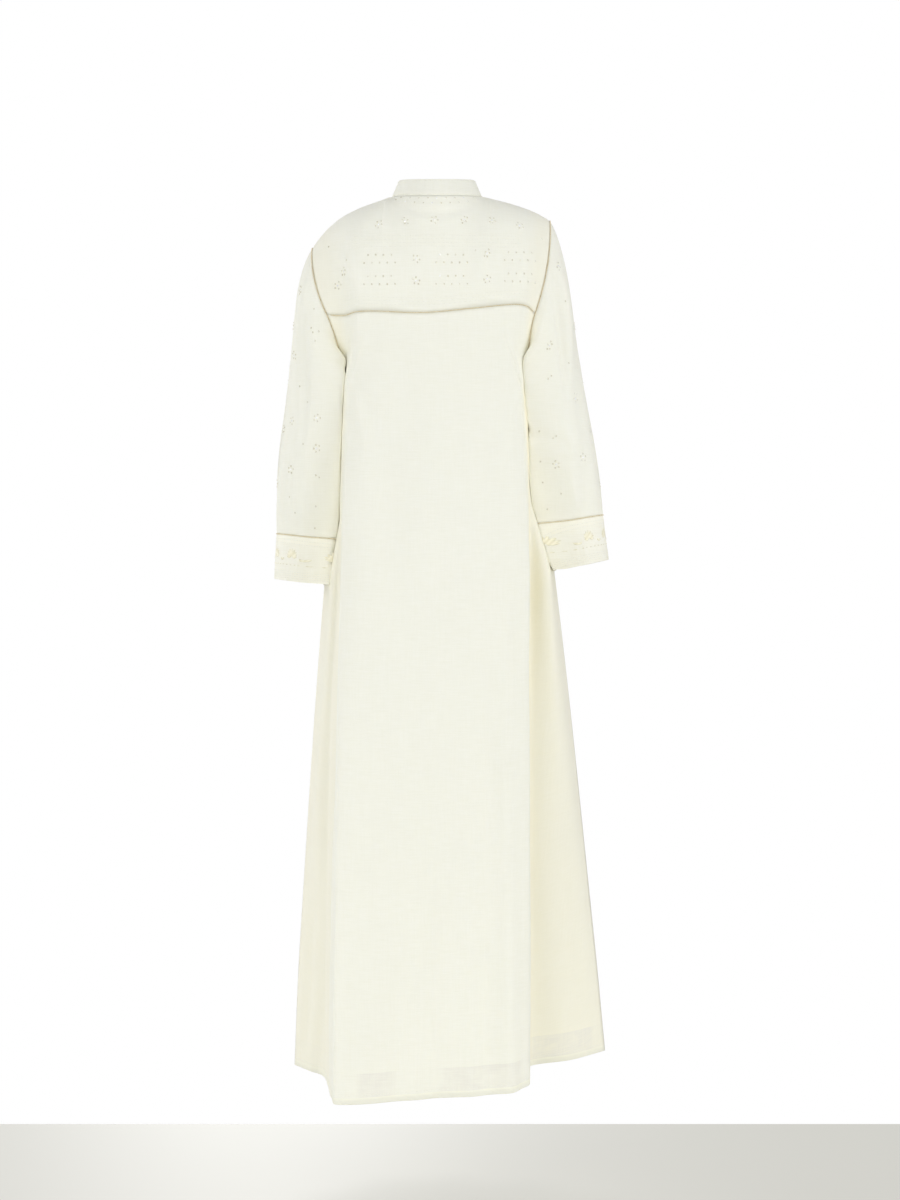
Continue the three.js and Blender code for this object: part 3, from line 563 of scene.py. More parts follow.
class Cloth:
    """A piece of cloth as rows and columns of points on its outside, with its normals and the
    distances along the cloth. sewn names the edges that meet a neighbour."""

    def __init__(self, points, sewn=(), closed=False, flip=False, turn=None, draped=False):
        self.points, self.sewn, self.closed, self.flip, self.turn = points, sewn, closed, flip, turn
        self.draped = draped
        # Painted warm light is laid into the colour where the next mark is 1.
        self.tucked = np.zeros(points.shape[:2])  # 1 where the cloth lies close beside other cloth
        # Painted shade greys the single layer above the hem where the next mark is 1.
        self.sheer = np.zeros(points.shape[:2])  # 1 where one layer shows greyer above the hem
        self.measure()

    def measure(self):
        points = self.points
        if self.closed:
            across = np.roll(points, -1, axis=1) - np.roll(points, 1, axis=1)
            steps_across = np.linalg.norm(np.roll(points, -1, axis=1) - points, axis=-1)
            self.girth = steps_across.sum(axis=1)
            self.across = np.cumsum(steps_across, axis=1) - steps_across
        else:
            across = np.gradient(points, axis=1)
            steps_across = np.linalg.norm(np.diff(points, axis=1), axis=-1)
            along = np.concatenate([np.zeros((len(points), 1)), np.cumsum(steps_across, axis=1)], axis=1)
            self.girth = along[:, -1]
            middle = points.shape[1] / 2 - 0.5
            centre = (along[:, int(np.floor(middle))] + along[:, int(np.ceil(middle))]) / 2
            self.across = along - centre[:, None]
        normal = np.cross(across, np.gradient(points, axis=0))
        self.normals = unit(-normal if self.flip else normal)
        steps_down = np.linalg.norm(np.diff(points, axis=0), axis=-1)
        self.down = np.concatenate([np.zeros((1, points.shape[1])), np.cumsum(steps_down, axis=0)])
        # The grain hangs straight. On a piece draped over the shoulders it is set at the lower edge.
        fall = np.linalg.norm(np.diff(points, axis=0)[..., 1:], axis=-1)
        fallen = np.concatenate([np.zeros((1, points.shape[1])), np.cumsum(fall, axis=0)])
        if self.draped:
            self.grain = np.stack([points[..., 0], points[-1, :, 2] + fallen[-1] - fallen], axis=-1)
        else:
            self.grain = np.stack([self.across, points[0, :, 2] - fallen], axis=-1)

    def from_seams(self):
        """The distance of every point from the nearest sewn edge."""
        far = np.full(self.down.shape, 1e9)
        if "top" in self.sewn:
            far = np.minimum(far, self.down)
        if "bottom" in self.sewn:
            far = np.minimum(far, self.down[-1] - self.down)
        if "sides" in self.sewn and not self.closed:
            far = np.minimum(far, self.across - self.across[:, :1])
            far = np.minimum(far, self.across[:, -1:] - self.across)
        return far

    def crease(self, creases, across, down, scale=1.0):
        """Moves the cloth out along ridges and in along troughs."""
        rise = np.zeros(self.down.shape)
        for row in creases:
            start, end = np.array(row["start"], float), np.array(row["end"], float)
            start[0], end[0] = start[0] * scale, end[0] * scale
            way = end - start
            length = np.linalg.norm(way)
            way = way / length
            along = ((across - start[0]) * way[0] + (down - start[1]) * way[1]) / length
            aside = (across - start[0]) * way[1] - (down - start[1]) * way[0]
            held = clamp01(along)
            belly = held * (1 - held)  # 0 at both ends and 0.25 in the middle
            width = row["width"] * (0.7 + 0.6 * belly * 2)
            off = (aside + row["bow"] * scale * 4 * belly) / width
            # A shallow dip runs along both sides of a ridge, and a low swell beside a trough.
            profile = np.exp(-(off**2)) - 0.28 * np.exp(-(((np.abs(off) - 1.9) / 0.8) ** 2))
            rise += row["rise"] * profile * (4 * belly) ** 0.8
        self.rise(rise * smooth(self.from_seams() / CREASE_FADE))

    def rise(self, amount):
        self.points = self.points + self.normals * amount[..., None]
        self.measure()

    def at(self, column, row, lift=0.0):
        """Points and normals at fractional columns and rows, lifted off the cloth."""
        height, width = self.down.shape
        row = np.clip(row, 0, height - 1.000001)
        j, b = np.floor(row).astype(int), (row - np.floor(row))[..., None]
        if self.closed:
            column = np.mod(column, width)
            i = np.floor(column).astype(int) % width
            k = (i + 1) % width
        else:
            column = np.clip(column, 0, width - 1.000001)
            i = np.floor(column).astype(int)
            k = i + 1
        a = (column - np.floor(column))[..., None]

        def read(grid):
            return mix(mix(grid[j, i], grid[j, k], a), mix(grid[j + 1, i], grid[j + 1, k], a), b)

        normals = unit(read(self.normals))
        return read(self.points) + normals * np.asarray(lift, float)[..., None], normals

    def find(self, x, z, facing):
        """The column and row of the cloth's point at x and z, on the side that faces +Y or -Y."""
        far = np.hypot(self.points[..., 0] - x, self.points[..., 2] - z)
        far = np.where(self.normals[..., 1] * facing > 0.1, far, 1e9)
        row, column = (float(v) for v in np.unravel_index(int(far.argmin()), far.shape))
        for _ in range(4):
            here = self.at(np.array(column), np.array(row))[0]
            right = self.at(np.array(column + 0.5), np.array(row))[0] - here
            down = self.at(np.array(column), np.array(row + 0.5))[0] - here
            grid = np.array([[right[0], down[0]], [right[2], down[2]]]) * 2
            if abs(np.linalg.det(grid)) < 1e-6:
                break
            move = np.linalg.solve(grid, [x - here[0], z - here[2]])
            column, row = column + np.clip(move[0], -2, 2), row + np.clip(move[1], -2, 2)
        return column, row

    def line(self, rows, columns, lift):
        """A line across the cloth through the given rows and columns, with its normals."""
        return self.at(np.asarray(columns, float), np.asarray(rows, float), np.full(len(columns), lift))

    def row_at(self, column, distance, edge="top"):
        """The row at a distance along the cloth from its top or bottom edge, at each column."""
        found = []
        for i in np.atleast_1d(column):
            down = self.down[:, int(round(float(i))) % self.down.shape[1]]
            place = distance if edge == "top" else down[-1] - distance
            found.append(np.interp(place, down, np.arange(len(down))))
        return np.array(found)


SWAY_HEIGHT, CUFF_SWAY_HEIGHT, PUCKER_HEIGHT = 0.32, 0.14, 0.32


def sway(cloth, amount, seed):
    """A slow unevenness of the whole cloth, the same every time."""
    a, b = cloth.across, cloth.down
    wave = (
        np.sin(a / 23.0 + b / 61.0 + seed)
        + np.sin(a / 37.0 - b / 43.0 + 2.1 * seed)
        + 0.8 * np.sin(a / 13.0 + b / 29.0 + 3.7 * seed) * np.sin(b / 47.0 + seed)
        + 0.6 * np.sin(a / 9.0 - b / 17.0 + 1.3 * seed) * np.sin(a / 31.0 + b / 53.0)
    )
    cloth.rise(amount * wave * smooth(cloth.from_seams() / 25))


def pucker(cloth, pitch, seed):
    """Small gathers that stand square to the sewn edges and die away from them."""
    far = cloth.from_seams()
    near = smooth(far / 3.5) * np.exp(-far / 11.0)
    phase = cloth.across / pitch * 2 * np.pi
    up = cloth.down / pitch * 2 * np.pi
    top = np.minimum(cloth.down, cloth.down[-1] - cloth.down) <= far + 1e-6
    wave = np.where(top, np.sin(phase + np.sin(phase * 0.37 + seed)), np.sin(up + np.sin(up * 0.41 + seed)))
    cloth.rise(PUCKER_HEIGHT * near * wave)


SEAM_REACH = 3.2  # how far from a seam the cloth is drawn in


def sink_seams(pieces, depth, reach):
    """Draws the sewn edges in a little, the same way on both pieces of a seam."""
    sums = {}

    def edges(cloth):
        height, width = cloth.down.shape
        for j, i in np.ndindex(height, width):
            if j in (0, height - 1) or (not cloth.closed and i in (0, width - 1)):
                yield j, i

    def key(point):
        return tuple(np.round(point * 20).astype(int))

    for cloth in pieces:
        for j, i in edges(cloth):
            place = key(cloth.points[j, i])
            sums[place] = sums.get(place, 0) + cloth.normals[j, i]
    for cloth in pieces:
        shared = cloth.normals.copy()
        for j, i in edges(cloth):
            shared[j, i] = sums[key(cloth.points[j, i])]
        sink = depth * np.exp(-((cloth.from_seams() / reach) ** 2))
        cloth.points = cloth.points - unit(shared) * sink[..., None]
        cloth.measure()
        cloth.seam_normals = unit(shared)


def mark_painted_warm_light(pieces):
    """Marks where warm light is painted into the cloth's colour, where it lies close beside other cloth:
    the sleeves' inner sides, the yoke beside the armholes, and the folds at the sides of the back."""
    for side in SLEEVES:
        sleeve = pieces[f"sleeve_{side}"]
        inner = smooth(1 - np.abs(sleeve.turn - 0.4) / 0.17)
        sleeve.tucked = 0.3 * (inner * smooth((-150 - sleeve.points[..., 2]) / 80))
    share, panel = np.abs(COLUMNS), pieces["back_panel"]
    pieces["back_yoke"].tucked += 0.2 * smooth((share - 0.78) / 0.16)
    edge = smooth((share - 0.84) / 0.12)
    flank = 0.3 * smooth((share - 0.6) / 0.12) * (1 - edge)
    valley = np.exp(-(((COLUMNS + 0.7) / 0.055) ** 2))
    panel.tucked += 0.3 * edge
    panel.tucked += (flank + 0.45 * valley) * smooth((-290 - panel.points[..., 2]) / 60)


@functools.lru_cache(maxsize=1)
def garment():
    """All the pieces of cloth, creased, with their seams drawn in."""
    sizes = bpy.context.scene.jalabiya_sizes
    amount = sizes.crease_height
    back_yoke = Cloth(body("back", COLUMNS, UPPER), ("top", "bottom", "sides"), draped=True)
    back_panel = Cloth(body("back", COLUMNS, np.concatenate([MIDDLE, SKIRT[1:]])), ("top", "sides"))
    front = body("front", SLIT_COLUMNS, np.concatenate([UPPER, MIDDLE[1:], SKIRT[1:]]))
    front_panel = Cloth(front, ("top", "sides"), flip=True)
    pieces = {"back_yoke": back_yoke, "back_panel": back_panel, "front_panel": front_panel}

    def scaled(rows):
        return [{**row, "rise": row["rise"] * amount} for row in rows]

    back_yoke.crease(scaled(YOKE_CREASES), back_yoke.points[..., 0], back_yoke.points[..., 2])
    back_panel.crease(scaled(BACK_CREASES), back_panel.across, back_panel.points[..., 2])
    front_panel.crease(scaled(FRONT_CREASES), front_panel.across, front_panel.points[..., 2])
    for side, sleeve in SLEEVES.items():
        numbers = [[0, 0.02], steps(0.05, 1, 30), steps(1, 4, 60)[1:], steps(4, 5, CUFF_ROWS)[1:]]
        turn, flip = turns(armhole(side)), side == "left"
        rows = sleeve_rows(side, np.concatenate(numbers))
        rows = press(rows, sleeve["away"], turn, (back_panel, front_panel), sleeve["free"])
        tube = Cloth(rows[:-CUFF_ROWS], ("top", "bottom"), True, flip, turn)
        round_it = np.broadcast_to(turn * SLEEVE_GIRTH, tube.down.shape)
        tube.crease(scaled(SLEEVE_CREASES[side]), round_it, tube.points[..., 2], SLEEVE_GIRTH)
        pieces[f"sleeve_{side}"] = tube
        pieces[f"cuff_{side}"] = Cloth(rows[-CUFF_ROWS - 1 :], ("top",), True, flip, turn)
    mark_painted_warm_light(pieces)
    # Painted shade greys the single layer above the hem in these patches.
    for name, patches in PAINTED_SHEER_SHADE_PATCHES.items():
        cloth = pieces[name]
        for start, end in patches:
            fade = smooth((cloth.across - start) / PAINTED_SHEER_SHADE_FADE)
            cloth.sheer += fade * smooth((end - cloth.across) / PAINTED_SHEER_SHADE_FADE)
    for seed, (name, cloth) in enumerate(pieces.items()):
        sway(cloth, CUFF_SWAY_HEIGHT if name.startswith("cuff") else SWAY_HEIGHT, 1.0 + seed)
        pucker(cloth, 9.0 + seed, seed)
    # The collar runs from the centre front round the right side and the back, and back again.
    neck = COLUMNS[np.abs(COLUMNS) <= NECK_SHARE + 1e-9] / NECK_SHARE
    front_neck = SLIT_COLUMNS[np.abs(SLIT_COLUMNS) < NECK_SHARE - 1e-9] / NECK_SHARE
    stops = [(-1, front_neck[front_neck < 0][::-1]), (1, neck), (-1, front_neck[front_neck > 0][::-1])]
    rings = (COLLAR_TOP, NECK)
    top, bottom = (np.concatenate([neck_point(ring, *stop) for stop in stops]) for ring in rings)
    pieces["collar"] = Cloth(mix(top, bottom, steps(0, 1, 10)[:, None, None]), ("bottom",))
    sink_seams(pieces.values(), sizes.seam_dip / MM, SEAM_REACH)
    return pieces


# ---- meshes ----------------------------------------------------------------------------------


def add_piece(name, mesh, material, replaced=()):
    """Puts a mesh in the scene as a piece that stands for the given nodes."""
    piece = bpy.data.objects.new(name, mesh)
    bpy.context.scene.collection.objects.link(piece)
    for one in material if isinstance(material, (list, tuple)) else [material]:
        mesh.materials.append(one)
    mesh.shade_smooth()
    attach(piece, "root")
    if replaced:
        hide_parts(*replaced)
    return piece


FOLD_GAP = 2.25  # from the outside of one layer to the inside of the other, in layers


def folded(cloth, reach, layer):
    """The grid run on round its free bottom edge and up behind itself, as a turned-up hem."""
    points, normals = cloth.points, cloth.normals
    back = layer / MM * FOLD_GAP
    end, way = points[-1], unit(points[-1] - points[-2])
    radius = back / 2
    rows = [
        end - normals[-1] * radius * (1 - np.cos(angle)) + way * radius * np.sin(angle)
        for angle in np.radians([45, 90, 135])
    ]
    count = int(np.sum(cloth.down[-1].mean() - cloth.down.mean(axis=1) <= reach / MM + 1e-6))
    rows += [points[-1 - k] - normals[-1 - k] * back for k in range(count)]
    return np.concatenate([points, np.stack(rows)]), count + 3


def cloth_mesh(name, cloth, hem=0.0, layer=0.0009, slit_rows=0):
    """The piece of cloth as a mesh. Its UV map follows the grain of the cloth in metres, and above_hem is
    the distance of each point from the turned edge. The marks of painted warm light and of painted shade
    above the hem are as in Cloth."""
    points, extra = folded(cloth, hem, layer) if hem else (cloth.points, 0)
    grain, above = cloth.grain, cloth.down[-1] - cloth.down
    tucked, sheer = cloth.tucked, cloth.sheer
    if extra:
        far = np.linalg.norm(np.diff(points[-extra - 1 :], axis=0), axis=-1).cumsum(axis=0)
        turned = np.stack([np.repeat(grain[-1:, :, 0], extra, axis=0), grain[-1, :, 1] - far], axis=-1)
        grain, above = np.concatenate([grain, turned]), np.concatenate([above, 0 * far])
        tucked, sheer = (
            np.concatenate([marks, np.repeat(marks[-1:], extra, axis=0)]) for marks in (tucked, sheer)
        )
    if cloth.closed:
        points = np.concatenate([points, points[:, :1]], axis=1)
        girth = np.concatenate([cloth.girth, np.full(extra, cloth.girth[-1])])
        closing = np.stack([girth, grain[:, 0, 1]], axis=-1)[:, None]
        grain = np.concatenate([grain, closing], axis=1)
        above, tucked, sheer = (
            np.concatenate([marks, marks[:, :1]], axis=1) for marks in (above, tucked, sheer)
        )
    height, width = points.shape[:2]
    bm = bmesh.new()
    uv_map = bm.loops.layers.uv.new("cloth")
    bmesh.ops.create_grid(bm, x_segments=width - 1, y_segments=height - 1, size=0.5, calc_uvs=True)
    if len(bm.verts) != height * width:
        raise RuntimeError(f"{name}: the grid has {len(bm.verts)} points and not {height * width}")
    marks = {"above_hem": above * MM, "tucked": tucked, "sheer": sheer}
    layers = [(bm.verts.layers.float.new(mark), values) for mark, values in marks.items()]
    place = {}
    for vertex in bm.verts:
        i, j = round((vertex.co.x + 0.5) * (width - 1)), round((0.5 - vertex.co.y) * (height - 1))
        place[vertex] = (j, i)
        vertex.co = points[j, i] * MM
        for layer, values in layers:
            vertex[layer] = values[j, i]
    for face in bm.faces:
        for loop in face.loops:
            loop[uv_map].uv = grain[place[loop.vert]] * MM
    if slit_rows:
        middle = {width // 2 - 1, width // 2}
        cut = {v for v, (j, i) in place.items() if i in middle and j <= slit_rows}
        strip = [face for face in bm.faces if cut.issuperset(face.verts)]
        bmesh.ops.delete(bm, geom=strip, context="FACES")
    if not cloth.flip:
        bmesh.ops.reverse_faces(bm, faces=bm.faces)
    if cloth.closed:
        seam = [v for v, (_, i) in place.items() if i in (0, width - 1)]
        bmesh.ops.remove_doubles(bm, verts=seam, dist=1e-7)
    mesh = bpy.data.meshes.new(name)
    bm.to_mesh(mesh)
    bm.free()
    return mesh


def give_thickness(piece, layer):
    """Gives a piece of cloth its wall, inwards from the grid."""
    wall = piece.modifiers.new("cloth thickness", "SOLIDIFY")
    wall.thickness, wall.offset = layer, -1
    return wall


def add_cloth(name, node, material, hem=0.0, slit_rows=0):
    """A piece of cloth with its thickness. Its flat size and area are worked out but not used."""
    cloth, layer = garment()[node], bpy.context.scene.jalabiya_sizes.cloth_thickness
    mesh = cloth_mesh(name, cloth, hem, layer, slit_rows)
    piece = add_piece(name, mesh, material, [node])
    give_thickness(piece, layer).use_quality_normals = True
    widths, lengths = cloth.girth * MM, cloth.down[-1] * MM
    area = sum(polygon.area for polygon in piece.data.polygons)
    flat = (float(widths.max()), float(lengths.max()) + hem)
    area = min(max(area, 0.3 * flat[0] * flat[1]), flat[0] * flat[1])
    return piece


def unit_mesh(build):
    """The points and faces of a small shape that build makes in a bmesh, for copying many times."""
    bm = bmesh.new()
    build(bm)
    bmesh.ops.recalc_face_normals(bm, faces=bm.faces)
    bm.verts.index_update()
    points = np.array([v.co for v in bm.verts])
    faces = [[v.index for v in face.verts] for face in bm.faces]
    bm.free()
    return points, faces


def joined(name, shape, copies, material_of=None):
    """One mesh of many copies of a small shape. copies holds the points of each copy in metres, and
    material_of the material of each face of each copy."""
    points, faces = shape
    count = len(points)
    every = [[count * k + v for v in face] for k in range(len(copies)) for face in faces]
    mesh = bpy.data.meshes.new(name)
    mesh.from_pydata(np.asarray(copies).reshape(-1, 3).tolist(), [], every)
    if material_of is not None:
        mesh.polygons.foreach_set("material_index", np.asarray(material_of, np.int32).ravel())
    return mesh


def placed(shape, origins, along, normals, lengths=None):
    """The shape's points at each origin, its X along the given way and its Z along the normal."""
    x = unit(along - normals * (along * normals).sum(axis=1, keepdims=True))
    axes = np.stack([x, np.cross(normals, x), normals], axis=1)
    points = np.repeat(shape[0][None], len(origins), axis=0)
    if lengths is not None:
        points = points * lengths[:, None, :]
    return origins[:, None] * MM + np.einsum("kpi,kij->kpj", points, axes)


def spaced(points, normals, pitch, start=0.5, loop=False):
    """Places along a line at an even pitch, with the way along it and the normals there."""
    if loop:
        points, normals = np.vstack([points, points[:1]]), np.vstack([normals, normals[:1]])
    along = np.concatenate([[0], np.cumsum(np.linalg.norm(np.diff(points, axis=0), axis=1))])
    count = max(2, int(round(along[-1] / pitch)))
    at = (np.arange(count) + start) * along[-1] / count

    def read(values, where):
        return np.stack([np.interp(where, along, values[:, k]) for k in range(3)], axis=1)

    way = read(points, np.minimum(at + 0.5, along[-1])) - read(points, np.maximum(at - 0.5, 0))
    return read(points, at), way, unit(read(normals, at))


def jitter(count, seed):
    """Numbers from -1 to 1, the same every time."""
    return np.random.default_rng(seed).uniform(-1, 1, count)


# ---- materials -------------------------------------------------------------------------------


def hex_colour(code):
    """A hex sRGB colour as linear red, green and blue."""
    parts = [int(code[k : k + 2], 16) / 255 for k in (0, 2, 4)]
    return tuple(p / 12.92 if p <= 0.04045 else ((p + 0.055) / 1.055) ** 2.4 for p in parts)


def add_node(tree, kind, inputs=(), **settings):
    """Adds a node with its settings. inputs pairs each socket with a value or another's output."""
    made = tree.nodes.new(kind)
    for name, value in settings.items():
        setattr(made, name, value)
    for socket, value in dict(inputs).items():
        if isinstance(value, bpy.types.NodeSocket):
            tree.links.new(value, made.inputs[socket])
        else:
            made.inputs[socket].default_value = value
    return made


def new_material(name):
    """An empty node material with its surface shader."""
    material = bpy.data.materials.new(name)
    material.use_nodes = True
    tree = material.node_tree
    tree.nodes.clear()
    shader = add_node(tree, "ShaderNodeBsdfPrincipled")
    add_node(tree, "ShaderNodeOutputMaterial", {"Surface": shader.outputs["BSDF"]})
    return material, tree, shader


HEM_EDGE = 0.009  # how far up the hem's doubled edge shows, in metres
# The single layer is greyed up to here by painted shade.
PAINTED_SHEER_SHADE_TO = 0.046  # how far up the single layer shows greyer
FINE_YARNS = 1.2  # distance between the fine yarns as drawn, in millimetres


def slub_weave(name, colours, tints, hemmed=False):
    """Linen-look slub plain weave: uneven yarns cross as short raised streaks both ways, matt, with
    a dry nap that lifts at grazing light. The yarns lie 0.6 mm apart; the thick ones, drawn about
    2 mm wide so that they show, carry the texture."""
    material, tree, shader = new_material(name)
    uv = add_node(tree, "ShaderNodeUVMap", uv_map="cloth").outputs["UV"]

    def streaks(wide_mm, long_mm, upright, seed):
        scale = (1000 / wide_mm, 1000 / long_mm, 1) if upright else (1000 / long_mm, 1000 / wide_mm, 1)
        settings = {"Vector": uv, "Scale": scale, "Location": (seed, seed, seed)}
        place = add_node(tree, "ShaderNodeMapping", settings).outputs["Vector"]
        settings = {"Vector": place, "Scale": 1.0, "Detail": 2.0, "Roughness": 0.55}
        return add_node(tree, "ShaderNodeTexNoise", settings, noise_dimensions="3D").outputs["Fac"]

    weft = streaks(1.7, 26, False, 3.1)
    warp = streaks(1.9, 34, True, 7.7)
    weave = add_node(tree, "ShaderNodeMix", {0: 0.38, 2: weft, 3: warp}).outputs[0]
    # Fine yarns are seen only from close by.
    yarns = {"Vector": uv, "Scale": 50 / FINE_YARNS, "Distortion": 0.8, "Detail": 1.0, "Detail Scale": 0.6}
    upright = add_node(tree, "ShaderNodeTexWave", yarns, bands_direction="X").outputs["Fac"]
    lying = add_node(tree, "ShaderNodeTexWave", yarns, bands_direction="Y").outputs["Fac"]
    fine = add_node(tree, "ShaderNodeMath", {0: upright, 1: lying}, operation="ADD").outputs[0]
    raised = {0: fine, 1: 0.16, 2: weave}
    height = add_node(tree, "ShaderNodeMath", raised, operation="MULTIPLY_ADD").outputs[0]
    # The low places of the weave take the darker tint: partly the yarns' own uneven tone, partly painted
    # shade between the yarns.
    spread = {"Value": weave, "From Min": 0.32, "From Max": 0.68}
    tone = add_node(tree, "ShaderNodeMapRange", spread).outputs["Result"]
    cloudy = streaks(60, 90, True, 1.3)
    tone = add_node(tree, "ShaderNodeMix", {0: 0.2, 2: tone, 3: cloudy}).outputs[0]
    # Painted warm light: between two layers that nearly touch, the colour is made warmer and creamier, for
    # the light that bounces and shines through there.
    tucked = add_node(tree, "ShaderNodeAttribute", attribute_name="tucked").outputs["Fac"]
    covers = [(tone, tints[1]), (tucked, colours.tucked)]
    if hemmed:
        # Painted shade: a single layer over nothing is greyed in patches above the turned-up hem, for the
        # dark inside that shows through it.
        above = add_node(tree, "ShaderNodeAttribute", attribute_name="above_hem").outputs["Fac"]
        sheer = add_node(tree, "ShaderNodeAttribute", attribute_name="sheer").outputs["Fac"]
        zone = {0: above, 1: (PAINTED_SHEER_SHADE_TO + HEM_EDGE) / 2, 2: (PAINTED_SHEER_SHADE_TO - HEM_EDGE) / 2}
        band = add_node(tree, "ShaderNodeMath", zone, operation="COMPARE").outputs[0]
        low_yarns = add_node(tree, "ShaderNodeMath", {0: 1.5, 1: tone}, operation="SUBTRACT").outputs[0]
        faint = {0: sheer, 1: 0.86, 2: 0.14}
        share = add_node(tree, "ShaderNodeMath", faint, operation="MULTIPLY_ADD").outputs[0]
        for factor in (streaks(30, 20, True, 9.4), low_yarns, band):
            product = {0: share, 1: factor}
            share = add_node(tree, "ShaderNodeMath", product, operation="MULTIPLY").outputs[0]
        edge = add_node(tree, "ShaderNodeMath", {0: above, 1: HEM_EDGE}, operation="LESS_THAN").outputs[0]
        double = add_node(tree, "ShaderNodeMath", {0: edge, 1: 0.7}, operation="MULTIPLY").outputs[0]
        covers += [(share, colours.single_layer_painted_shade), (double, colours.double_layer)]
    colour = (*tints[0], 1)
    for share, over in covers:
        laid_over = {0: share, 6: colour, 7: (*over, 1)}
        colour = add_node(tree, "ShaderNodeMix", laid_over, data_type="RGBA").outputs[2]
    bump = add_node(tree, "ShaderNodeBump", {"Height": height, "Strength": 0.35, "Distance": 0.0005})
    tree.links.new(colour, shader.inputs["Base Color"])
    tree.links.new(bump.outputs["Normal"], shader.inputs["Normal"])
    shader.inputs["Roughness"].default_value = 0.88
    shader.inputs["Specular IOR Level"].default_value = 0.25
    shader.inputs["Sheen Weight"].default_value = 0.1
    shader.inputs["Sheen Roughness"].default_value = 0.5
    # Light passes through the thin cloth and comes out warmer.
    shader.inputs["Subsurface Weight"].default_value = 0.4
    shader.inputs["Subsurface Radius"].default_value = (1.0, 0.93, 0.78)
    shader.inputs["Subsurface Scale"].default_value = 0.005
    return material


def thread(name, colour, dark, roughness, twist_mm):
    """Sewing or embroidery thread: fine twisted filaments, seen as close stripes with a soft gloss."""
    material, tree, shader = new_material(name)
    place = add_node(tree, "ShaderNodeTexCoord").outputs["Object"]
    lines = add_node(
        tree,
        "ShaderNodeTexWave",
        {"Vector": place, "Scale": 50 / twist_mm, "Distortion": 1.5, "Detail": 1.0},
        wave_type="BANDS",
        bands_direction="DIAGONAL",
    ).outputs["Fac"]
    # The grooves between the filaments take the darker colour as painted shade.
    stripes = {0: lines, 6: (*dark, 1), 7: (*colour, 1)}
    shade = add_node(tree, "ShaderNodeMix", stripes, data_type="RGBA").outputs[2]
    bump = add_node(tree, "ShaderNodeBump", {"Height": lines, "Strength": 0.4, "Distance": 0.0002})
    tree.links.new(shade, shader.inputs["Base Color"])
    tree.links.new(bump.outputs["Normal"], shader.inputs["Normal"])
    shader.inputs["Roughness"].default_value = roughness
    shader.inputs["Sheen Weight"].default_value = 0.2
    return material


def lustre(name, colour, dark, metallic, roughness, patch_mm):
    """Lacquered beads or foil sequins: bright little surfaces, each toned a little differently."""
    material, tree, shader = new_material(name)
    place = add_node(tree, "ShaderNodeTexCoord").outputs["Object"]
    patches = {"Vector": place, "Scale": 1000 / patch_mm, "Detail": 1.0}
    tone = add_node(tree, "ShaderNodeTexNoise", patches).outputs["Fac"]
    spread = {"Value": tone, "From Min": 0.35, "From Max": 0.65}
    tone = add_node(tree, "ShaderNodeMapRange", spread).outputs["Result"]
    toned = {0: tone, 6: (*dark, 1), 7: (*colour, 1)}
    shade = add_node(tree, "ShaderNodeMix", toned, data_type="RGBA").outputs[2]
    tree.links.new(shade, shader.inputs["Base Color"])
    shader.inputs["Metallic"].default_value = metallic
    shader.inputs["Roughness"].default_value = roughness
    return material


def studio_floor(name, colour):
    """Painted studio floor: smooth matt emulsion with a faint roller grain, lit evenly from all
    round, so that most of its light is its own and the garment's shadow stays faint."""
    material, tree, shader = new_material(name)
    place = add_node(tree, "ShaderNodeTexCoord").outputs["Object"]
    roller = {"Vector": place, "Scale": 40.0, "Detail": 3.0}
    grain = add_node(tree, "ShaderNodeTexNoise", roller).outputs["Fac"]
    bump = add_node(tree, "ShaderNodeBump", {"Height": grain, "Strength": 0.05, "Distance": 0.0005})
    tree.links.new(bump.outputs["Normal"], shader.inputs["Normal"])
    shader.inputs["Base Color"].default_value = (*(0.1 * part for part in colour), 1)
    shader.inputs["Emission Color"].default_value = (*colour, 1)
    shader.inputs["Emission Strength"].default_value = 0.6
    shader.inputs["Roughness"].default_value = 0.6
    return material


def material_named(name, make, *values):
    """The material of that name, made when it is first asked for."""
    return bpy.data.materials.get(name) or make(name, *values)


# ---- sizes and colours that a user can change ------------------------------------------------


def size_property(label, use, default, smallest=0.0):
    return FloatProperty(name=label, description=use, default=default, min=smallest, unit="LENGTH")


class JalabiyaSizes(PropertyGroup):
    """Sizes of the cloth and of what is sewn on it."""

    cloth_thickness: size_property("Cloth thickness", "Thickness of one layer of the cloth", 0.0009, 0.0002)
    seam_dip: size_property("Seam dip", "How far the sewn edges are drawn in", 0.0007)
    crease_height: FloatProperty(
        name="Crease height",
        description="How strong the creases are, as a share of their table",
        default=1.0,
        min=0.0,
    )
    hem_depth: size_property("Hem depth", "How far the hem is turned up", 0.009)
    cuff_facing: size_property("Cuff turn-up", "How far the cuff is turned up inside", 0.06)
    bead_diameter: size_property("Bead diameter", "Diameter of the beads on the piping", 0.0013, 0.0005)
    bead_pitch: size_property("Bead pitch", "Distance from bead to bead", 0.0022, 0.001)
    cord_diameter: size_property("Cord diameter", "Diameter of the cord under the beads", 0.001, 0.0005)
    sequin_diameter: size_property("Sequin diameter", "Diameter of one sequin", 0.0034, 0.001)
    flower_diameter: size_property("Flower diameter", "Diameter of a ring of sequins", 0.0115, 0.004)
    stitch_length: size_property("Stitch length", "Length of one visible stitch", 0.0031, 0.001)
    thread_diameter: size_property("Thread diameter", "Diameter of the sewing thread", 0.0007, 0.0002)


def colour_property(label, use, code):
    return FloatVectorProperty(
        name=label, description=use, subtype="COLOR", size=3, min=0.0, max=1.0, default=hex_colour(code)
    )


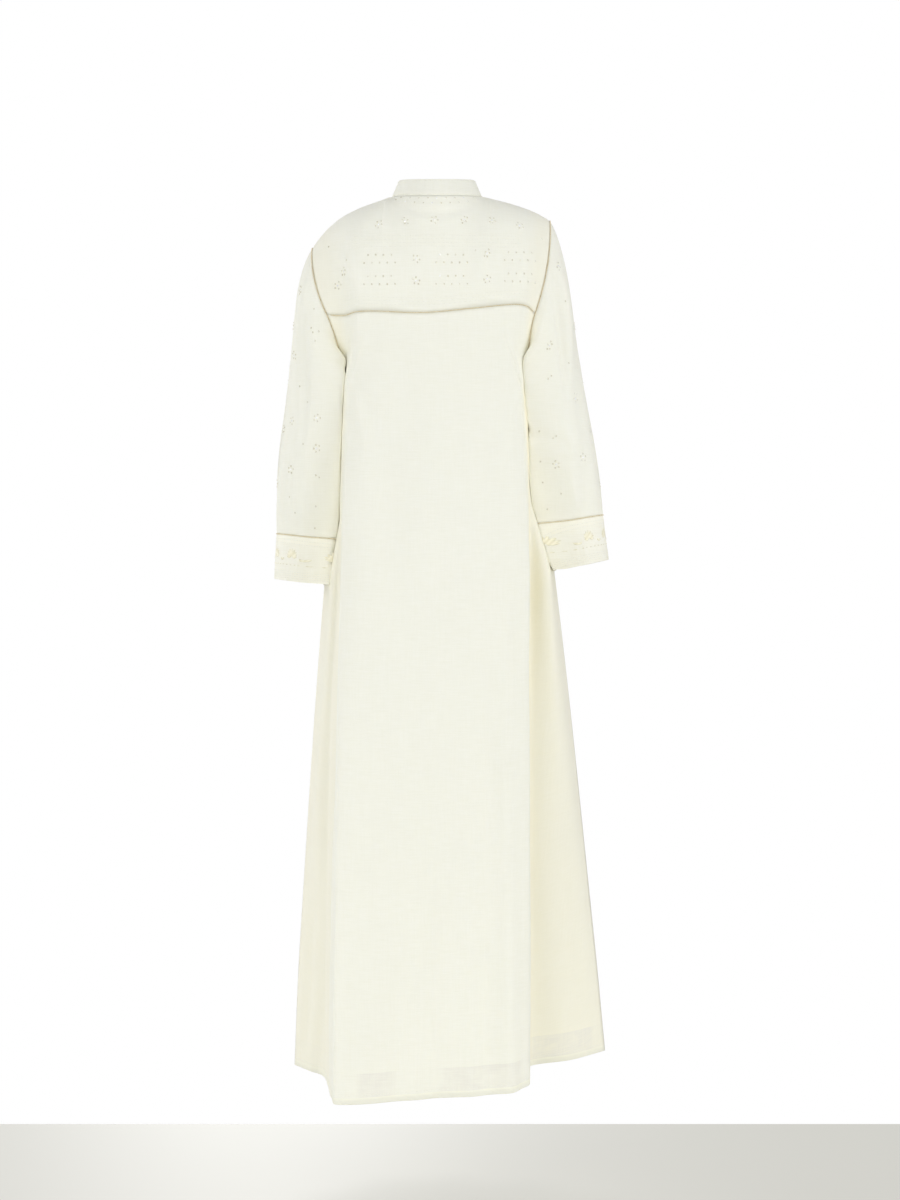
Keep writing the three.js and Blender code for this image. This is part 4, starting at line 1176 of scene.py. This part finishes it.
class JalabiyaColours(PropertyGroup):
    """Colours of the cloth and of what is sewn on it."""

    cloth: colour_property("Cloth", "Raised yarns of the cloth", "F3F2E4")
    # Partly the yarns' own tone, partly painted shade in the low places between them.
    cloth_shade: colour_property("Cloth shade", "Low places between the yarns", "EEEDDC")
    # Painted shade of the single layer above the hem, where the dark inside shows through.
    single_layer_painted_shade: colour_property("Single layer", "Where the cloth hangs as one layer", "E6E3D7")
    double_layer: colour_property("Double layer", "Where the hem is turned up", "F6F4DE")
    # Painted warm light, laid into the colour where cloth lies close beside other cloth.
    tucked: colour_property("Tucked cloth", "Where cloth lies close beside other cloth", "F8EECB")
    sewing_thread: colour_property("Sewing thread", "Topstitching", "F0F0E4")
    embroidery: colour_property("Embroidery", "Raised motifs of the cuffs", "ECE8D2")
    beads: colour_property("Beads", "Beads of the piping", "E9DEC2")
    cord: colour_property("Cord", "Cord under the beads", "E6D9B8")
    # Also the painted highlight on one side of every sequin.
    sequins: colour_property("Sequins", "Most of the sequins", "F2F1E8")
    # Also the painted shade on the other side of every sequin.
    seed_beads: colour_property("Seed beads", "Beads that hold the sequins", "DEDBC8")
    # Painted glints: a few sequins made all bright, as if they caught the light.
    glints: colour_property("Bright sequins", "The brighter sequins", "FBFAF4")
    floor: colour_property("Floor", "Studio floor", "EDECE4")


# The cuffs are stiffened inside, so that less light comes through and they look creamier. Their tints are
# also painted lighter than the cloth's, as painted light that lifts the cuffs out of their shade.
INTERLINED_PAINTED_LIGHT_TINTS = ("F3F0DC", "FAF8E8")
# What the other colours vary towards: at random from bead to bead, and as painted shade in the grooves
# between the filaments of a thread.
SECOND_TONES = {
    "sewing_thread": "E6E5D6",
    "embroidery": "DFDAC0",
    "beads": "D6C6A2",
    "cord": "D6C59C",
    "sequins": "E4E2D6",
    "seed_beads": "CAC4AC",
    "glints": "FFFFFF",
}


def tones(kind):
    """A finish's colour, and the one that it varies towards."""
    return getattr(bpy.context.scene.jalabiya_colours, kind), hex_colour(SECOND_TONES[kind])


def cloth_material(kind="plain"):
    colours = bpy.context.scene.jalabiya_colours
    tints = (colours.cloth_shade, colours.cloth)
    # The cuffs' tints are painted lighter than the cloth's, as painted light.
    if kind == "interlined":
        tints = [hex_colour(code) for code in INTERLINED_PAINTED_LIGHT_TINTS]
    name = f"linen_look_slub_weave_{kind}"
    return material_named(name, slub_weave, colours, tints, kind == "hemmed")


# ---- operators -------------------------------------------------------------------------------


BAND_LAYER = 0.0008  # one layer of the placket and the collar, in metres
COLLAR_INSIDE = 0.028  # how far the collar runs down inside, in metres


class Builder:
    """What every operator of this panel shares."""

    bl_options = {"REGISTER", "UNDO"}

    @property
    def sizes(self):
        return bpy.context.scene.jalabiya_sizes


class JALABIYA_OT_back_yoke(Builder, Operator):
    """Add the deep back yoke"""

    bl_idname = "jalabiya.back_yoke"
    bl_label = "Back yoke"

    def execute(self, context):
        add_cloth("back_yoke_cloth", "back_yoke", cloth_material())
        return {"FINISHED"}


class JALABIYA_OT_back_panel(Builder, Operator):
    """Add the long back panel with its turned-up hem"""

    bl_idname = "jalabiya.back_panel"
    bl_label = "Back panel"

    def execute(self, context):
        material, hem = cloth_material("hemmed"), self.sizes.hem_depth
        add_cloth("back_panel_cloth", "back_panel", material, hem)
        return {"FINISHED"}


class JALABIYA_OT_front_panel(Builder, Operator):
    """Add the front panel, slit at the neck, with the band over its slit"""

    bl_idname = "jalabiya.front_panel"
    bl_label = "Front panel and placket"

    def execute(self, context):
        slit_rows = int(round(SLIT_END * (len(UPPER) - 1)))
        material, hem = cloth_material("hemmed"), self.sizes.hem_depth
        add_cloth("front_panel_cloth", "front_panel", material, hem, slit_rows)
        front = garment()["front_panel"]
        reach = PLACKET_WIDTH / 2
        # The band stands off the panel, and its edges turn down to it.
        rows = np.linspace(0.6, slit_rows + 7, 34)
        widths = np.concatenate([[-reach - 0.1], np.linspace(-reach, reach, 15), [reach + 0.1]])
        lifts = np.concatenate([[PLACKET_EDGE_LIFT], np.full(15, PLACKET_LIFT), [PLACKET_EDGE_LIFT]])
        columns = []
        for row in rows:
            line = front.across[int(round(row))]
            columns.append(np.interp(widths, line, np.arange(len(line))))
        columns, lifts = np.array(columns), np.repeat(lifts[None], len(rows), axis=0)
        lifts[-1] = PLACKET_EDGE_LIFT
        points, _ = front.at(columns, np.repeat(rows[:, None], len(widths), axis=1), lifts)
        band = Cloth(points, flip=True)
        mesh = cloth_mesh("placket_cloth", band)
        piece = add_piece("placket_cloth", mesh, cloth_material(), ["front_placket"])
        give_thickness(piece, BAND_LAYER)
        return {"FINISHED"}


class JALABIYA_OT_sleeves(Builder, Operator):
    """Add both sleeves"""

    bl_idname = "jalabiya.sleeves"
    bl_label = "Sleeves"

    def execute(self, context):
        for name in ("sleeve_right", "sleeve_left"):
            add_cloth(f"{name}_cloth", name, cloth_material())
        return {"FINISHED"}


class JALABIYA_OT_cuffs(Builder, Operator):
    """Add both cuffs, turned up inside"""

    bl_idname = "jalabiya.cuffs"
    bl_label = "Cuffs"

    def execute(self, context):
        material, turned_up = cloth_material("interlined"), self.sizes.cuff_facing
        for side in SLEEVES:
            add_cloth(f"cuff_{side}_cloth", f"cuff_{side}", material, turned_up)
        return {"FINISHED"}


class JALABIYA_OT_collar(Builder, Operator):
    """Add the stand collar, a band folded over at its top edge"""

    bl_idname = "jalabiya.collar"
    bl_label = "Collar"

    def execute(self, context):
        collar = garment()["collar"]
        # The band folds at its top, so it is turned over to run on round that edge.
        over = Cloth(collar.points[::-1], ("top",), flip=True)
        mesh = cloth_mesh("collar_cloth", over, COLLAR_INSIDE, BAND_LAYER)
        piece = add_piece("collar_cloth", mesh, cloth_material(), ["collar"])
        give_thickness(piece, BAND_LAYER)
        return {"FINISHED"}


BEAD_SEAT = 0.45  # how far above the middle of the cord the middle of a bead is


def build_bead(bm):
    bmesh.ops.create_uvsphere(bm, u_segments=8, v_segments=6, radius=0.5)


def seam_paths():
    """The seams that carry piping, each as its node's name, points, normals and whether it closes."""
    pieces = garment()
    panel = pieces["back_panel"]
    paths = [("yoke_piping", panel.points[0, 2:-2], panel.seam_normals[0, 2:-2], False)]
    for side in ("right", "left"):
        sleeve, cuff = pieces[f"sleeve_{side}"], pieces[f"cuff_{side}"]
        half = sleeve.down.shape[1] // 2
        # Up the front, over the shoulder and down the back, short of the armpit.
        order = np.concatenate([np.arange(half + 5, 2 * half), np.arange(half - 4)])
        points, normals = sleeve.points[0, order], sleeve.seam_normals[0, order]
        paths.append((f"armhole_piping_{side}", points, normals, False))
        paths.append((f"cuff_piping_{side}", cuff.points[0], cuff.seam_normals[0], True))
    return paths


class JALABIYA_OT_piping(Builder, Operator):
    """Add the beaded cord on the yoke seam, round the armholes and on the cuffs"""

    bl_idname = "jalabiya.piping"
    bl_label = "Beaded piping"

    def execute(self, context):
        sizes = self.sizes
        bead = unit_mesh(build_bead)
        beads = material_named("lacquered_glass_beads", lustre, *tones("beads"), 0.1, 0.35, 3.0)
        cord = material_named("twisted_gold_cord", thread, *tones("cord"), 0.6, 1.2)
        lift = sizes.cord_diameter / MM / 2 + 0.2
        for name, points, normals, loop in seam_paths():
            middle, _, up = spaced(points + normals * lift, normals, 4.0, 0.0 if loop else 0.5, loop)
            curve = bpy.data.curves.new(name, "CURVE")
            curve.dimensions, curve.bevel_depth, curve.bevel_resolution = "3D", sizes.cord_diameter / 2, 2
            curve.use_fill_caps = True
            spline = curve.splines.new("POLY")
            spline.points.add(len(middle) - 1)
            spline.points.foreach_set("co", np.column_stack([middle * MM, np.ones(len(middle))]).ravel())
            spline.use_cyclic_u = loop
            holder = bpy.data.objects.new(name, curve)
            mesh = bpy.data.meshes.new_from_object(holder)
            bpy.data.objects.remove(holder)
            bpy.data.curves.remove(curve)
            mesh.name = name
            mesh.materials.clear()
            add_piece(f"{name}_cord", mesh, cord, [name])
            origins, way, up = spaced(points, normals, sizes.bead_pitch / MM, loop=loop)
            size = sizes.bead_diameter * (1 + 0.1 * jitter(len(origins), len(origins)))
            origins = origins + up * (lift + BEAD_SEAT)
            stretch = np.stack([size * 1.05, size, size], axis=1)
            mesh = joined(f"{name}_beads", bead, placed(bead, origins, way, up, stretch))
            add_piece(f"{name}_beads", mesh, beads)
        return {"FINISHED"}


# Motifs of the yoke, by x and z as seen from behind.
YOKE_FLOWERS = [
    (94, -53), (51, -48), (4, -47), (-44, -46), (-89, -46), (-134, -54), (33, -112), (-81, -103),
    (33, -148), (-81, -145), (150, -130), (160, -152),
]  # fmt: skip
YOKE_BLOCKS = [(92, -105), (-24, -105), (-134, -100)]
YOKE_BLOCK_ROWS = [(0, 4), (13, 5), (35, 4), (48, 5)]  # how far down each row is, and its dots
BLOCK_PITCH, NECK_PITCH = 12.5, 14.5
YOKE_DOTS = [(176, -86), (-170, -74), (146, -112), (-62, -98)]
# Motifs of the backs of the sleeves, by x, z and the number of sequins; FLOWER makes a ring flower.
FLOWER = 6
SLEEVE_MOTIFS = {
    "left": [
        (199, -189, 1), (202, -222, 2), (191, -226, 1), (197, -241, 1), (223, -313, 1), (210, -339, 1),
        (195, -365, FLOWER), (217, -407, 1), (195, -414, FLOWER), (194, -458, 2), (240, -492, 1),
        (197, -508, 1), (231, -518, 1), (199, -543, 1), (232, -262, FLOWER), (236, -368, FLOWER),
        (238, -448, FLOWER), (222, -156, FLOWER),
    ],
    "right": [
        (-197, -118, FLOWER), (-182, -249, FLOWER), (-183, -298, 2), (-166, -386, 1), (-191, -394, 2),
        (-168, -435, 1), (-194, -440, FLOWER), (-172, -469, 1), (-202, -487, 1), (-180, -512, 1),
        (-222, -214, FLOWER), (-226, -332, FLOWER), (-238, -428, FLOWER), (-208, -176, 1), (-214, -276, 1),
    ],
}  # fmt: skip
# Motifs of their other sides, by turn round the sleeve, z and the number of sequins.
SLEEVE_SIDES = [
    (0.02, -210, FLOWER), (0.97, -300, FLOWER), (0.04, -380, FLOWER), (0.98, -468, FLOWER),
    (0.86, -228, FLOWER), (0.84, -342, FLOWER), (0.87, -430, FLOWER), (0.74, -268, FLOWER),
    (0.72, -386, FLOWER), (0.75, -486, FLOWER),
    (0.93, -256, 1), (0.79, -304, 1), (0.91, -390, 1), (0.8, -450, 1), (0.62, -430, 1),
]  # fmt: skip
SEQUIN_SIDES = 10
# Painted highlight and shade: the facets on one side of every sequin and its bead are pearl, and the rest
# bronze.
LIT_SIDE_WAY, LIT_SIDE_FROM = (1, 0.3, 0), 0.03  # the facets of a sequin that lie this far this way are pearl


def build_sequin(bm):
    """A faceted sequin, a shallow cone with a flat top, held by a small bead."""
    bmesh.ops.create_cone(bm, cap_ends=True, segments=SEQUIN_SIDES, radius1=0.5, radius2=0.24, depth=0.16)
    made = bmesh.ops.create_uvsphere(bm, u_segments=6, v_segments=4, radius=0.14)
    bmesh.ops.translate(bm, verts=made["verts"], vec=(0, 0, 0.15))


class JALABIYA_OT_sequins(Builder, Operator):
    """Scatter the sequins and ring flowers over the yoke and the sleeves"""

    bl_idname = "jalabiya.sequins"
    bl_label = "Sequins"

    def execute(self, context):
        pieces = garment()
        materials = [
            material_named("pearl_sequins", lustre, *tones("sequins"), 0.1, 0.3, 4.0),
            material_named("bronze_seed_beads", lustre, *tones("seed_beads"), 0.1, 0.3, 4.0),
            material_named("bright_foil_sequins", lustre, *tones("glints"), 0.2, 0.12, 4.0),
        ]
        self.lay("yoke_sequins", pieces["back_yoke"], self.yoke_places(pieces["back_yoke"]), materials)
        for side in ("right", "left"):
            cloth = pieces[f"sleeve_{side}"]
            motifs = [(*cloth.find(x, z, 1), dots) for x, z, dots in SLEEVE_MOTIFS[side]]
            for turn, z, dots in SLEEVE_SIDES:
                column = float(np.interp(turn, cloth.turn, np.arange(len(cloth.turn))))
                heights = cloth.points[:, int(column), 2]
                row = float(np.interp(-z, -heights, np.arange(len(heights))))
                motifs.append((column, row, dots))
            places = [p for column, row, dots in motifs for p in self.motif(cloth, column, row, dots)]
            self.lay(f"sleeve_{side}_sequins", cloth, places, materials)
        return {"FINISHED"}

    def motif(self, cloth, column, row, dots):
        """A ring flower, or one or two single sequins, as columns, rows and kinds."""
        if dots == 1:
            return [(column, row, 0)]
        here, _ = cloth.at(np.array(column), np.array(row))
        wide = np.linalg.norm(cloth.at(np.array(column + 1.0), np.array(row))[0] - here)
        tall = np.linalg.norm(cloth.at(np.array(column), np.array(row + 1.0))[0] - here)
        ring = self.sizes.flower_diameter / MM / 2
        if dots == 2:
            return [(column - 3 / wide, row, 0), (column + 3 / wide, row + 3 / tall, 0)]
        angles = np.arange(5) / 5 * 2 * np.pi + column
        around = [(column + ring * np.cos(a) / wide, row + ring * np.sin(a) / tall, 0) for a in angles]
        # The middle sequin of a ring flower is a painted glint.
        return [*around, (column, row, 1)]

    def yoke_places(self, yoke):
        places = []
        columns = np.arange(yoke.down.shape[1])
        # Two rows along the neckline, the lower one set between the dots of the upper.
        for distance, shift in ((6.0, 0.0), (16.0, 0.5)):
            for x in (np.arange(-5, 5) + shift) * NECK_PITCH:
                column = float(np.interp(x, yoke.points[0, :, 0], columns))
                places.append((column, float(yoke.row_at(column, distance)[0]), int((x * 7) % 5 < 1)))
        for x, z in YOKE_FLOWERS:
            places += self.motif(yoke, *yoke.find(x, z, 1), FLOWER)
        for number, (middle, top) in enumerate(YOKE_BLOCKS):
            for drop, dots in YOKE_BLOCK_ROWS:
                for k in range(dots):
                    x = middle + (k - (dots - 1) / 2) * BLOCK_PITCH
                    # A few of the middle block's sequins are painted glints, all bright.
                    bright = int((3 * k + 2 * drop + number) % 7 == 3 and number == 1)
                    places.append((*yoke.find(x, top - drop, 1), bright))
        places += [(*yoke.find(x, z, 1), 0) for x, z in YOKE_DOTS]
        return places

    def lay(self, name, cloth, places, materials):
        columns, rows, kinds = (np.array(v, float) for v in zip(*places))
        origins, normals = cloth.at(columns, rows, np.full(len(columns), 0.35))
        lean = np.stack([jitter(len(columns), seed) for seed in (5, 6, 7)], axis=1) * 0.16
        normals = unit(normals + lean)
        way = np.cross(normals, np.array([0.0, 0.0, 1.0])) + lean
        size = self.sizes.sequin_diameter * (1 + 0.12 * jitter(len(columns), 8))
        shape = unit_mesh(build_sequin)
        copies = placed(shape, origins, way, normals, np.stack([size] * 3, axis=1))
        # Painted highlight and shade: one side of a sequin and its bead, always the same side, is pearl and
        # the rest is bronze; a bright one is all foil, as a painted glint.
        middles = np.array([shape[0][face].mean(axis=0) for face in shape[1]])
        shaded_side = middles @ LIT_SIDE_WAY <= LIT_SIDE_FROM
        faces = np.where(kinds[:, None] > 0.5, 2, shaded_side[None])
        piece = add_piece(name, joined(name, shape, copies, faces), materials)
        piece.data.shade_flat()


def build_stitch(bm):
    bmesh.ops.create_uvsphere(bm, u_segments=6, v_segments=5, radius=0.5)
    bmesh.ops.rotate(bm, verts=bm.verts, matrix=Matrix.Rotation(np.pi / 2, 3, "Y"))


def build_petal(bm):
    """A satin-stitched petal along X, round at its base and pointed at its tip."""
    bmesh.ops.create_uvsphere(bm, u_segments=8, v_segments=7, radius=0.5)
    bmesh.ops.rotate(bm, verts=bm.verts, matrix=Matrix.Rotation(np.pi / 2, 3, "Y"))
    for vertex in bm.verts:
        narrow = 1 - 0.75 * max(0.0, vertex.co.x + 0.1)
        vertex.co = Vector((vertex.co.x, vertex.co.y * narrow, vertex.co.z * narrow))


CUFF_HEIGHT = 73
FAN_COUNT = 8
FAN_UP, LEAF_UP, DASH_UP = 36, 31, 24.5  # heights of the motifs above the cuff's end
# The petals of a fan, as angle from upright and length.
FAN_PETALS = [
    (-84, 8), (-63, 10), (-42, 11.5), (-21, 12.5), (0, 13), (21, 12.5), (42, 11.5), (63, 10), (84, 8),
]  # fmt: skip
LEAF_ANGLES = (-48, 48)
DASHES = 5  # below each fan


class JALABIYA_OT_cuff_embroidery(Builder, Operator):
    """Embroider the cuffs with fans and leaves in the colour of the cloth"""

    bl_idname = "jalabiya.cuff_embroidery"
    bl_label = "Cuff embroidery"

    def execute(self, context):
        silk = material_named("rayon_embroidery_thread", thread, *tones("embroidery"), 0.5, 0.8)
        shape = unit_mesh(build_petal)
        for side in SLEEVES:
            petals = []
            for k in range(FAN_COUNT):
                middle, end = (k + 0.5) / FAN_COUNT, (k + 1) / FAN_COUNT
                petals += [(middle, FAN_UP, angle, 1.5, length, 4.6) for angle, length in FAN_PETALS]
                petals += [(end, LEAF_UP, angle, 0, 6, 3.4) for angle in LEAF_ANGLES]
                for dash in range(DASHES):
                    petals.append(((k + (dash + 0.5) / DASHES) / FAN_COUNT, DASH_UP, 90, -2, 4, 1.8))
            copies = self.wrapped(shape, garment()[f"cuff_{side}"], petals)
            name = f"cuff_{side}_embroidery"
            add_piece(name, joined(name, shape, copies), silk)
        return {"FINISHED"}

    def wrapped(self, shape, cloth, petals):
        """Each petal bent round the cuff: its turn, height, angle, start, length and width."""
        turn, up, angle, start, length, width = (np.array(v, float)[:, None] for v in zip(*petals))
        points = shape[0][None]
        along = start + (points[..., 0] + 0.5) * length
        aside, rise = points[..., 1] * width, points[..., 2] * 1.1 + 0.05
        angle = np.radians(angle)
        right = along * np.sin(angle) + aside * np.cos(angle)
        height = up + along * np.cos(angle) - aside * np.sin(angle)
        closing = np.append(cloth.turn, 1.0)
        around = np.mod(turn + right / cloth.girth.mean(), 1.0)
        columns = np.interp(around, closing, np.arange(len(closing)))
        rows = (1 - height / CUFF_HEIGHT) * (len(cloth.down) - 1)
        placed_at, _ = cloth.at(columns, rows, np.broadcast_to(rise, columns.shape))
        return placed_at * MM


# Lines of topstitching, by how far each runs from the edge of its piece.
CUFF_STITCHES = (4, 7.5, 11, 14.5, 60, 66)
YOKE_STITCHES = (12, 17.5, 23)
HEM_STITCHES = 12.5
COLLAR_STITCHES = 2.5
YOKE_LINES = (-73, -79, -85, -91)  # heights of the lines across the yoke
STITCH_LIFT = 0.15


def stitch_lines():
    """Every line of topstitching, as points and normals."""
    pieces = garment()
    lines = []

    def across(cloth, distance, edge, first=0, last=None, step=2):
        width = cloth.down.shape[1]
        columns = np.arange(first, (width if last is None else last), step).astype(float)
        return cloth.line(cloth.row_at(columns, distance, edge), columns, STITCH_LIFT)

    for side in SLEEVES:
        for distance in CUFF_STITCHES:
            points, normals = across(pieces[f"cuff_{side}"], distance, "bottom", step=1)
            lines.append((np.vstack([points, points[:1]]), np.vstack([normals, normals[:1]])))
    yoke = pieces["back_yoke"]
    for distance in YOKE_STITCHES:
        lines.append(across(yoke, distance, "bottom", 10, yoke.down.shape[1] - 10))
    for z in YOKE_LINES:
        columns, rows = zip(*(yoke.find(x, z, 1) for x in np.linspace(-138, 138, 56)))
        lines.append(yoke.line(rows, columns, STITCH_LIFT))
    for name in ("back_panel", "front_panel"):
        lines.append(across(pieces[name], HEM_STITCHES, "bottom"))
    collar = pieces["collar"]
    for edge in ("top", "bottom"):
        lines.append(across(collar, COLLAR_STITCHES, edge, 1, collar.down.shape[1] - 1, 1))
    front = pieces["front_panel"]
    numbers = np.arange(front.down.shape[1])
    rows = np.linspace(2, SLIT_END * (len(UPPER) - 1) + 6.4, 30)
    for offset in (-PLACKET_WIDTH / 2 + 2, PLACKET_WIDTH / 2 - 2):
        columns = [np.interp(offset, front.across[int(round(row))], numbers) for row in rows]
        lines.append(front.line(rows, columns, PLACKET_LIFT + STITCH_LIFT))
    return lines


class JALABIYA_OT_topstitching(Builder, Operator):
    """Sew the topstitching of the cuffs, yoke, hem, collar and placket"""

    bl_idname = "jalabiya.topstitching"
    bl_label = "Topstitching"

    def execute(self, context):
        sizes = self.sizes
        cotton = material_named("twisted_cotton_thread", thread, *tones("sewing_thread"), 0.7, 0.6)
        shape = unit_mesh(build_stitch)
        stretch = np.array([sizes.stitch_length, sizes.thread_diameter, sizes.thread_diameter * 0.9])
        pitch = sizes.stitch_length / MM * 1.35
        copies = []
        for points, normals in stitch_lines():
            origins, way, up = spaced(points, normals, pitch)
            lengths = np.repeat(stretch[None], len(origins), axis=0)
            copies.append(placed(shape, origins, way, up, lengths))
        mesh = joined("topstitching", shape, np.concatenate(copies))
        add_piece("topstitching", mesh, cotton)
        return {"FINISHED"}


FLOOR_SIZE = (7.0, 4.6, 0.2)
FLOOR_TOP = -1.58
FLOOR_EDGE = -0.26  # y of its edge behind the garment
# The white wall behind is seen at full strength, and lights the cloth less than that.
WALL_SEEN, WALL_LIGHT = 1.0, 0.58
# Soft lights: place, size across and power.
LIGHTS = {
    "key": ((-1.1, 4.4, 0.3), 1.2, 38.0),
    "fill": ((1.3, 4.3, 0.3), 1.2, 30.0),
    "side light": ((-3.4, 2.0, -0.4), 2.2, 46.0),
    "other side light": ((3.4, 2.0, -0.4), 2.2, 38.0),
    "front key": ((0.6, -4.5, -0.2), 1.2, 62.0),
    "front side light": ((3.4, -2.2, -0.4), 2.2, 34.0),
}
LIGHTS_AIM = Vector((0, 0, -0.7))
CAMERA_PLACE = (-0.0215, 4.0, -0.66)
CAMERA_LENS = 72.72  # for a sensor 36 mm wide


class JALABIYA_OT_stage(Builder, Operator):
    """Add the floor, the soft studio light and the camera"""

    bl_idname = "jalabiya.stage"
    bl_label = "Stage"

    def execute(self, context):
        scene = context.scene
        self.add_floor(scene)
        world = bpy.data.worlds.new("white_studio")
        world.use_nodes = True
        tree = world.node_tree
        tree.nodes.clear()
        seen = add_node(tree, "ShaderNodeLightPath").outputs["Is Camera Ray"]
        strength = add_node(tree, "ShaderNodeMix", {0: seen, 2: WALL_LIGHT, 3: WALL_SEEN}).outputs[0]
        wall = add_node(tree, "ShaderNodeBackground", {"Color": (1, 1, 1, 1), "Strength": strength})
        add_node(tree, "ShaderNodeOutputWorld", {"Surface": wall.outputs["Background"]})
        scene.world = world
        for name, (place, size, power) in LIGHTS.items():
            light = bpy.data.lights.new(name, "AREA")
            light.size, light.energy = size, power
            lamp = bpy.data.objects.new(name, light)
            lamp.location = place
            lamp.rotation_euler = (LIGHTS_AIM - Vector(place)).to_track_quat("-Z", "Y").to_euler()
            lamp.visible_camera = False
            scene.collection.objects.link(lamp)

        camera = bpy.data.cameras.new("camera")
        camera.sensor_width, camera.lens = 36.0, CAMERA_LENS
        holder = bpy.data.objects.new("camera", camera)
        holder.location = CAMERA_PLACE
        holder.rotation_euler = (np.pi / 2, 0, np.pi)
        scene.collection.objects.link(holder)
        scene.camera = holder
        scene.view_settings.view_transform = "Standard"
        return {"FINISHED"}

    def add_floor(self, scene):
        bm = bmesh.new()
        bmesh.ops.create_cube(bm, size=1.0)
        bmesh.ops.scale(bm, vec=FLOOR_SIZE, verts=bm.verts)
        middle = (0.0, FLOOR_SIZE[1] / 2 + FLOOR_EDGE, FLOOR_TOP - FLOOR_SIZE[2] / 2)
        bmesh.ops.translate(bm, vec=middle, verts=bm.verts)
        rounded = {"offset": 0.004, "segments": 2, "profile": 0.5, "material": -1}
        bmesh.ops.bevel(bm, geom=bm.edges[:], affect="EDGES", offset_type="OFFSET", **rounded)
        mesh = bpy.data.meshes.new("floor")
        bm.to_mesh(mesh)
        bm.free()
        floor = bpy.data.objects.new("floor", mesh)
        scene.collection.objects.link(floor)
        colour = scene.jalabiya_colours.floor
        mesh.materials.append(material_named("painted_studio_floor", studio_floor, colour))


PIECES = (
    JALABIYA_OT_back_yoke,
    JALABIYA_OT_back_panel,
    JALABIYA_OT_front_panel,
    JALABIYA_OT_sleeves,
    JALABIYA_OT_cuffs,
    JALABIYA_OT_collar,
    JALABIYA_OT_piping,
    JALABIYA_OT_sequins,
    JALABIYA_OT_cuff_embroidery,
    JALABIYA_OT_topstitching,
    JALABIYA_OT_stage,
)


class JALABIYA_PT_pieces(Panel):
    """Lists the pieces of the jalabiya, with their sizes and colours"""

    bl_idname = "JALABIYA_PT_pieces"
    bl_label = "Jalabiya"
    bl_space_type = "VIEW_3D"
    bl_region_type = "UI"
    bl_category = "Jalabiya"

    def draw(self, context):
        for group in (context.scene.jalabiya_sizes, context.scene.jalabiya_colours):
            box = self.layout.box()
            for name in group.__annotations__:
                box.prop(group, name)
        for operator in PIECES:
            self.layout.operator(operator.bl_idname)


CLASSES = (JalabiyaSizes, JalabiyaColours, *PIECES, JALABIYA_PT_pieces)


def register():
    for made in CLASSES:
        bpy.utils.register_class(made)
    bpy.types.Scene.jalabiya_sizes = PointerProperty(type=JalabiyaSizes)
    bpy.types.Scene.jalabiya_colours = PointerProperty(type=JalabiyaColours)


def unregister():
    del bpy.types.Scene.jalabiya_colours
    del bpy.types.Scene.jalabiya_sizes
    for made in reversed(CLASSES):
        bpy.utils.unregister_class(made)


def main():
    register()
    for operator in PIECES:
        group, name = operator.bl_idname.split(".")
        getattr(getattr(bpy.ops, group), name)()


if __name__ == "__main__":
    main()
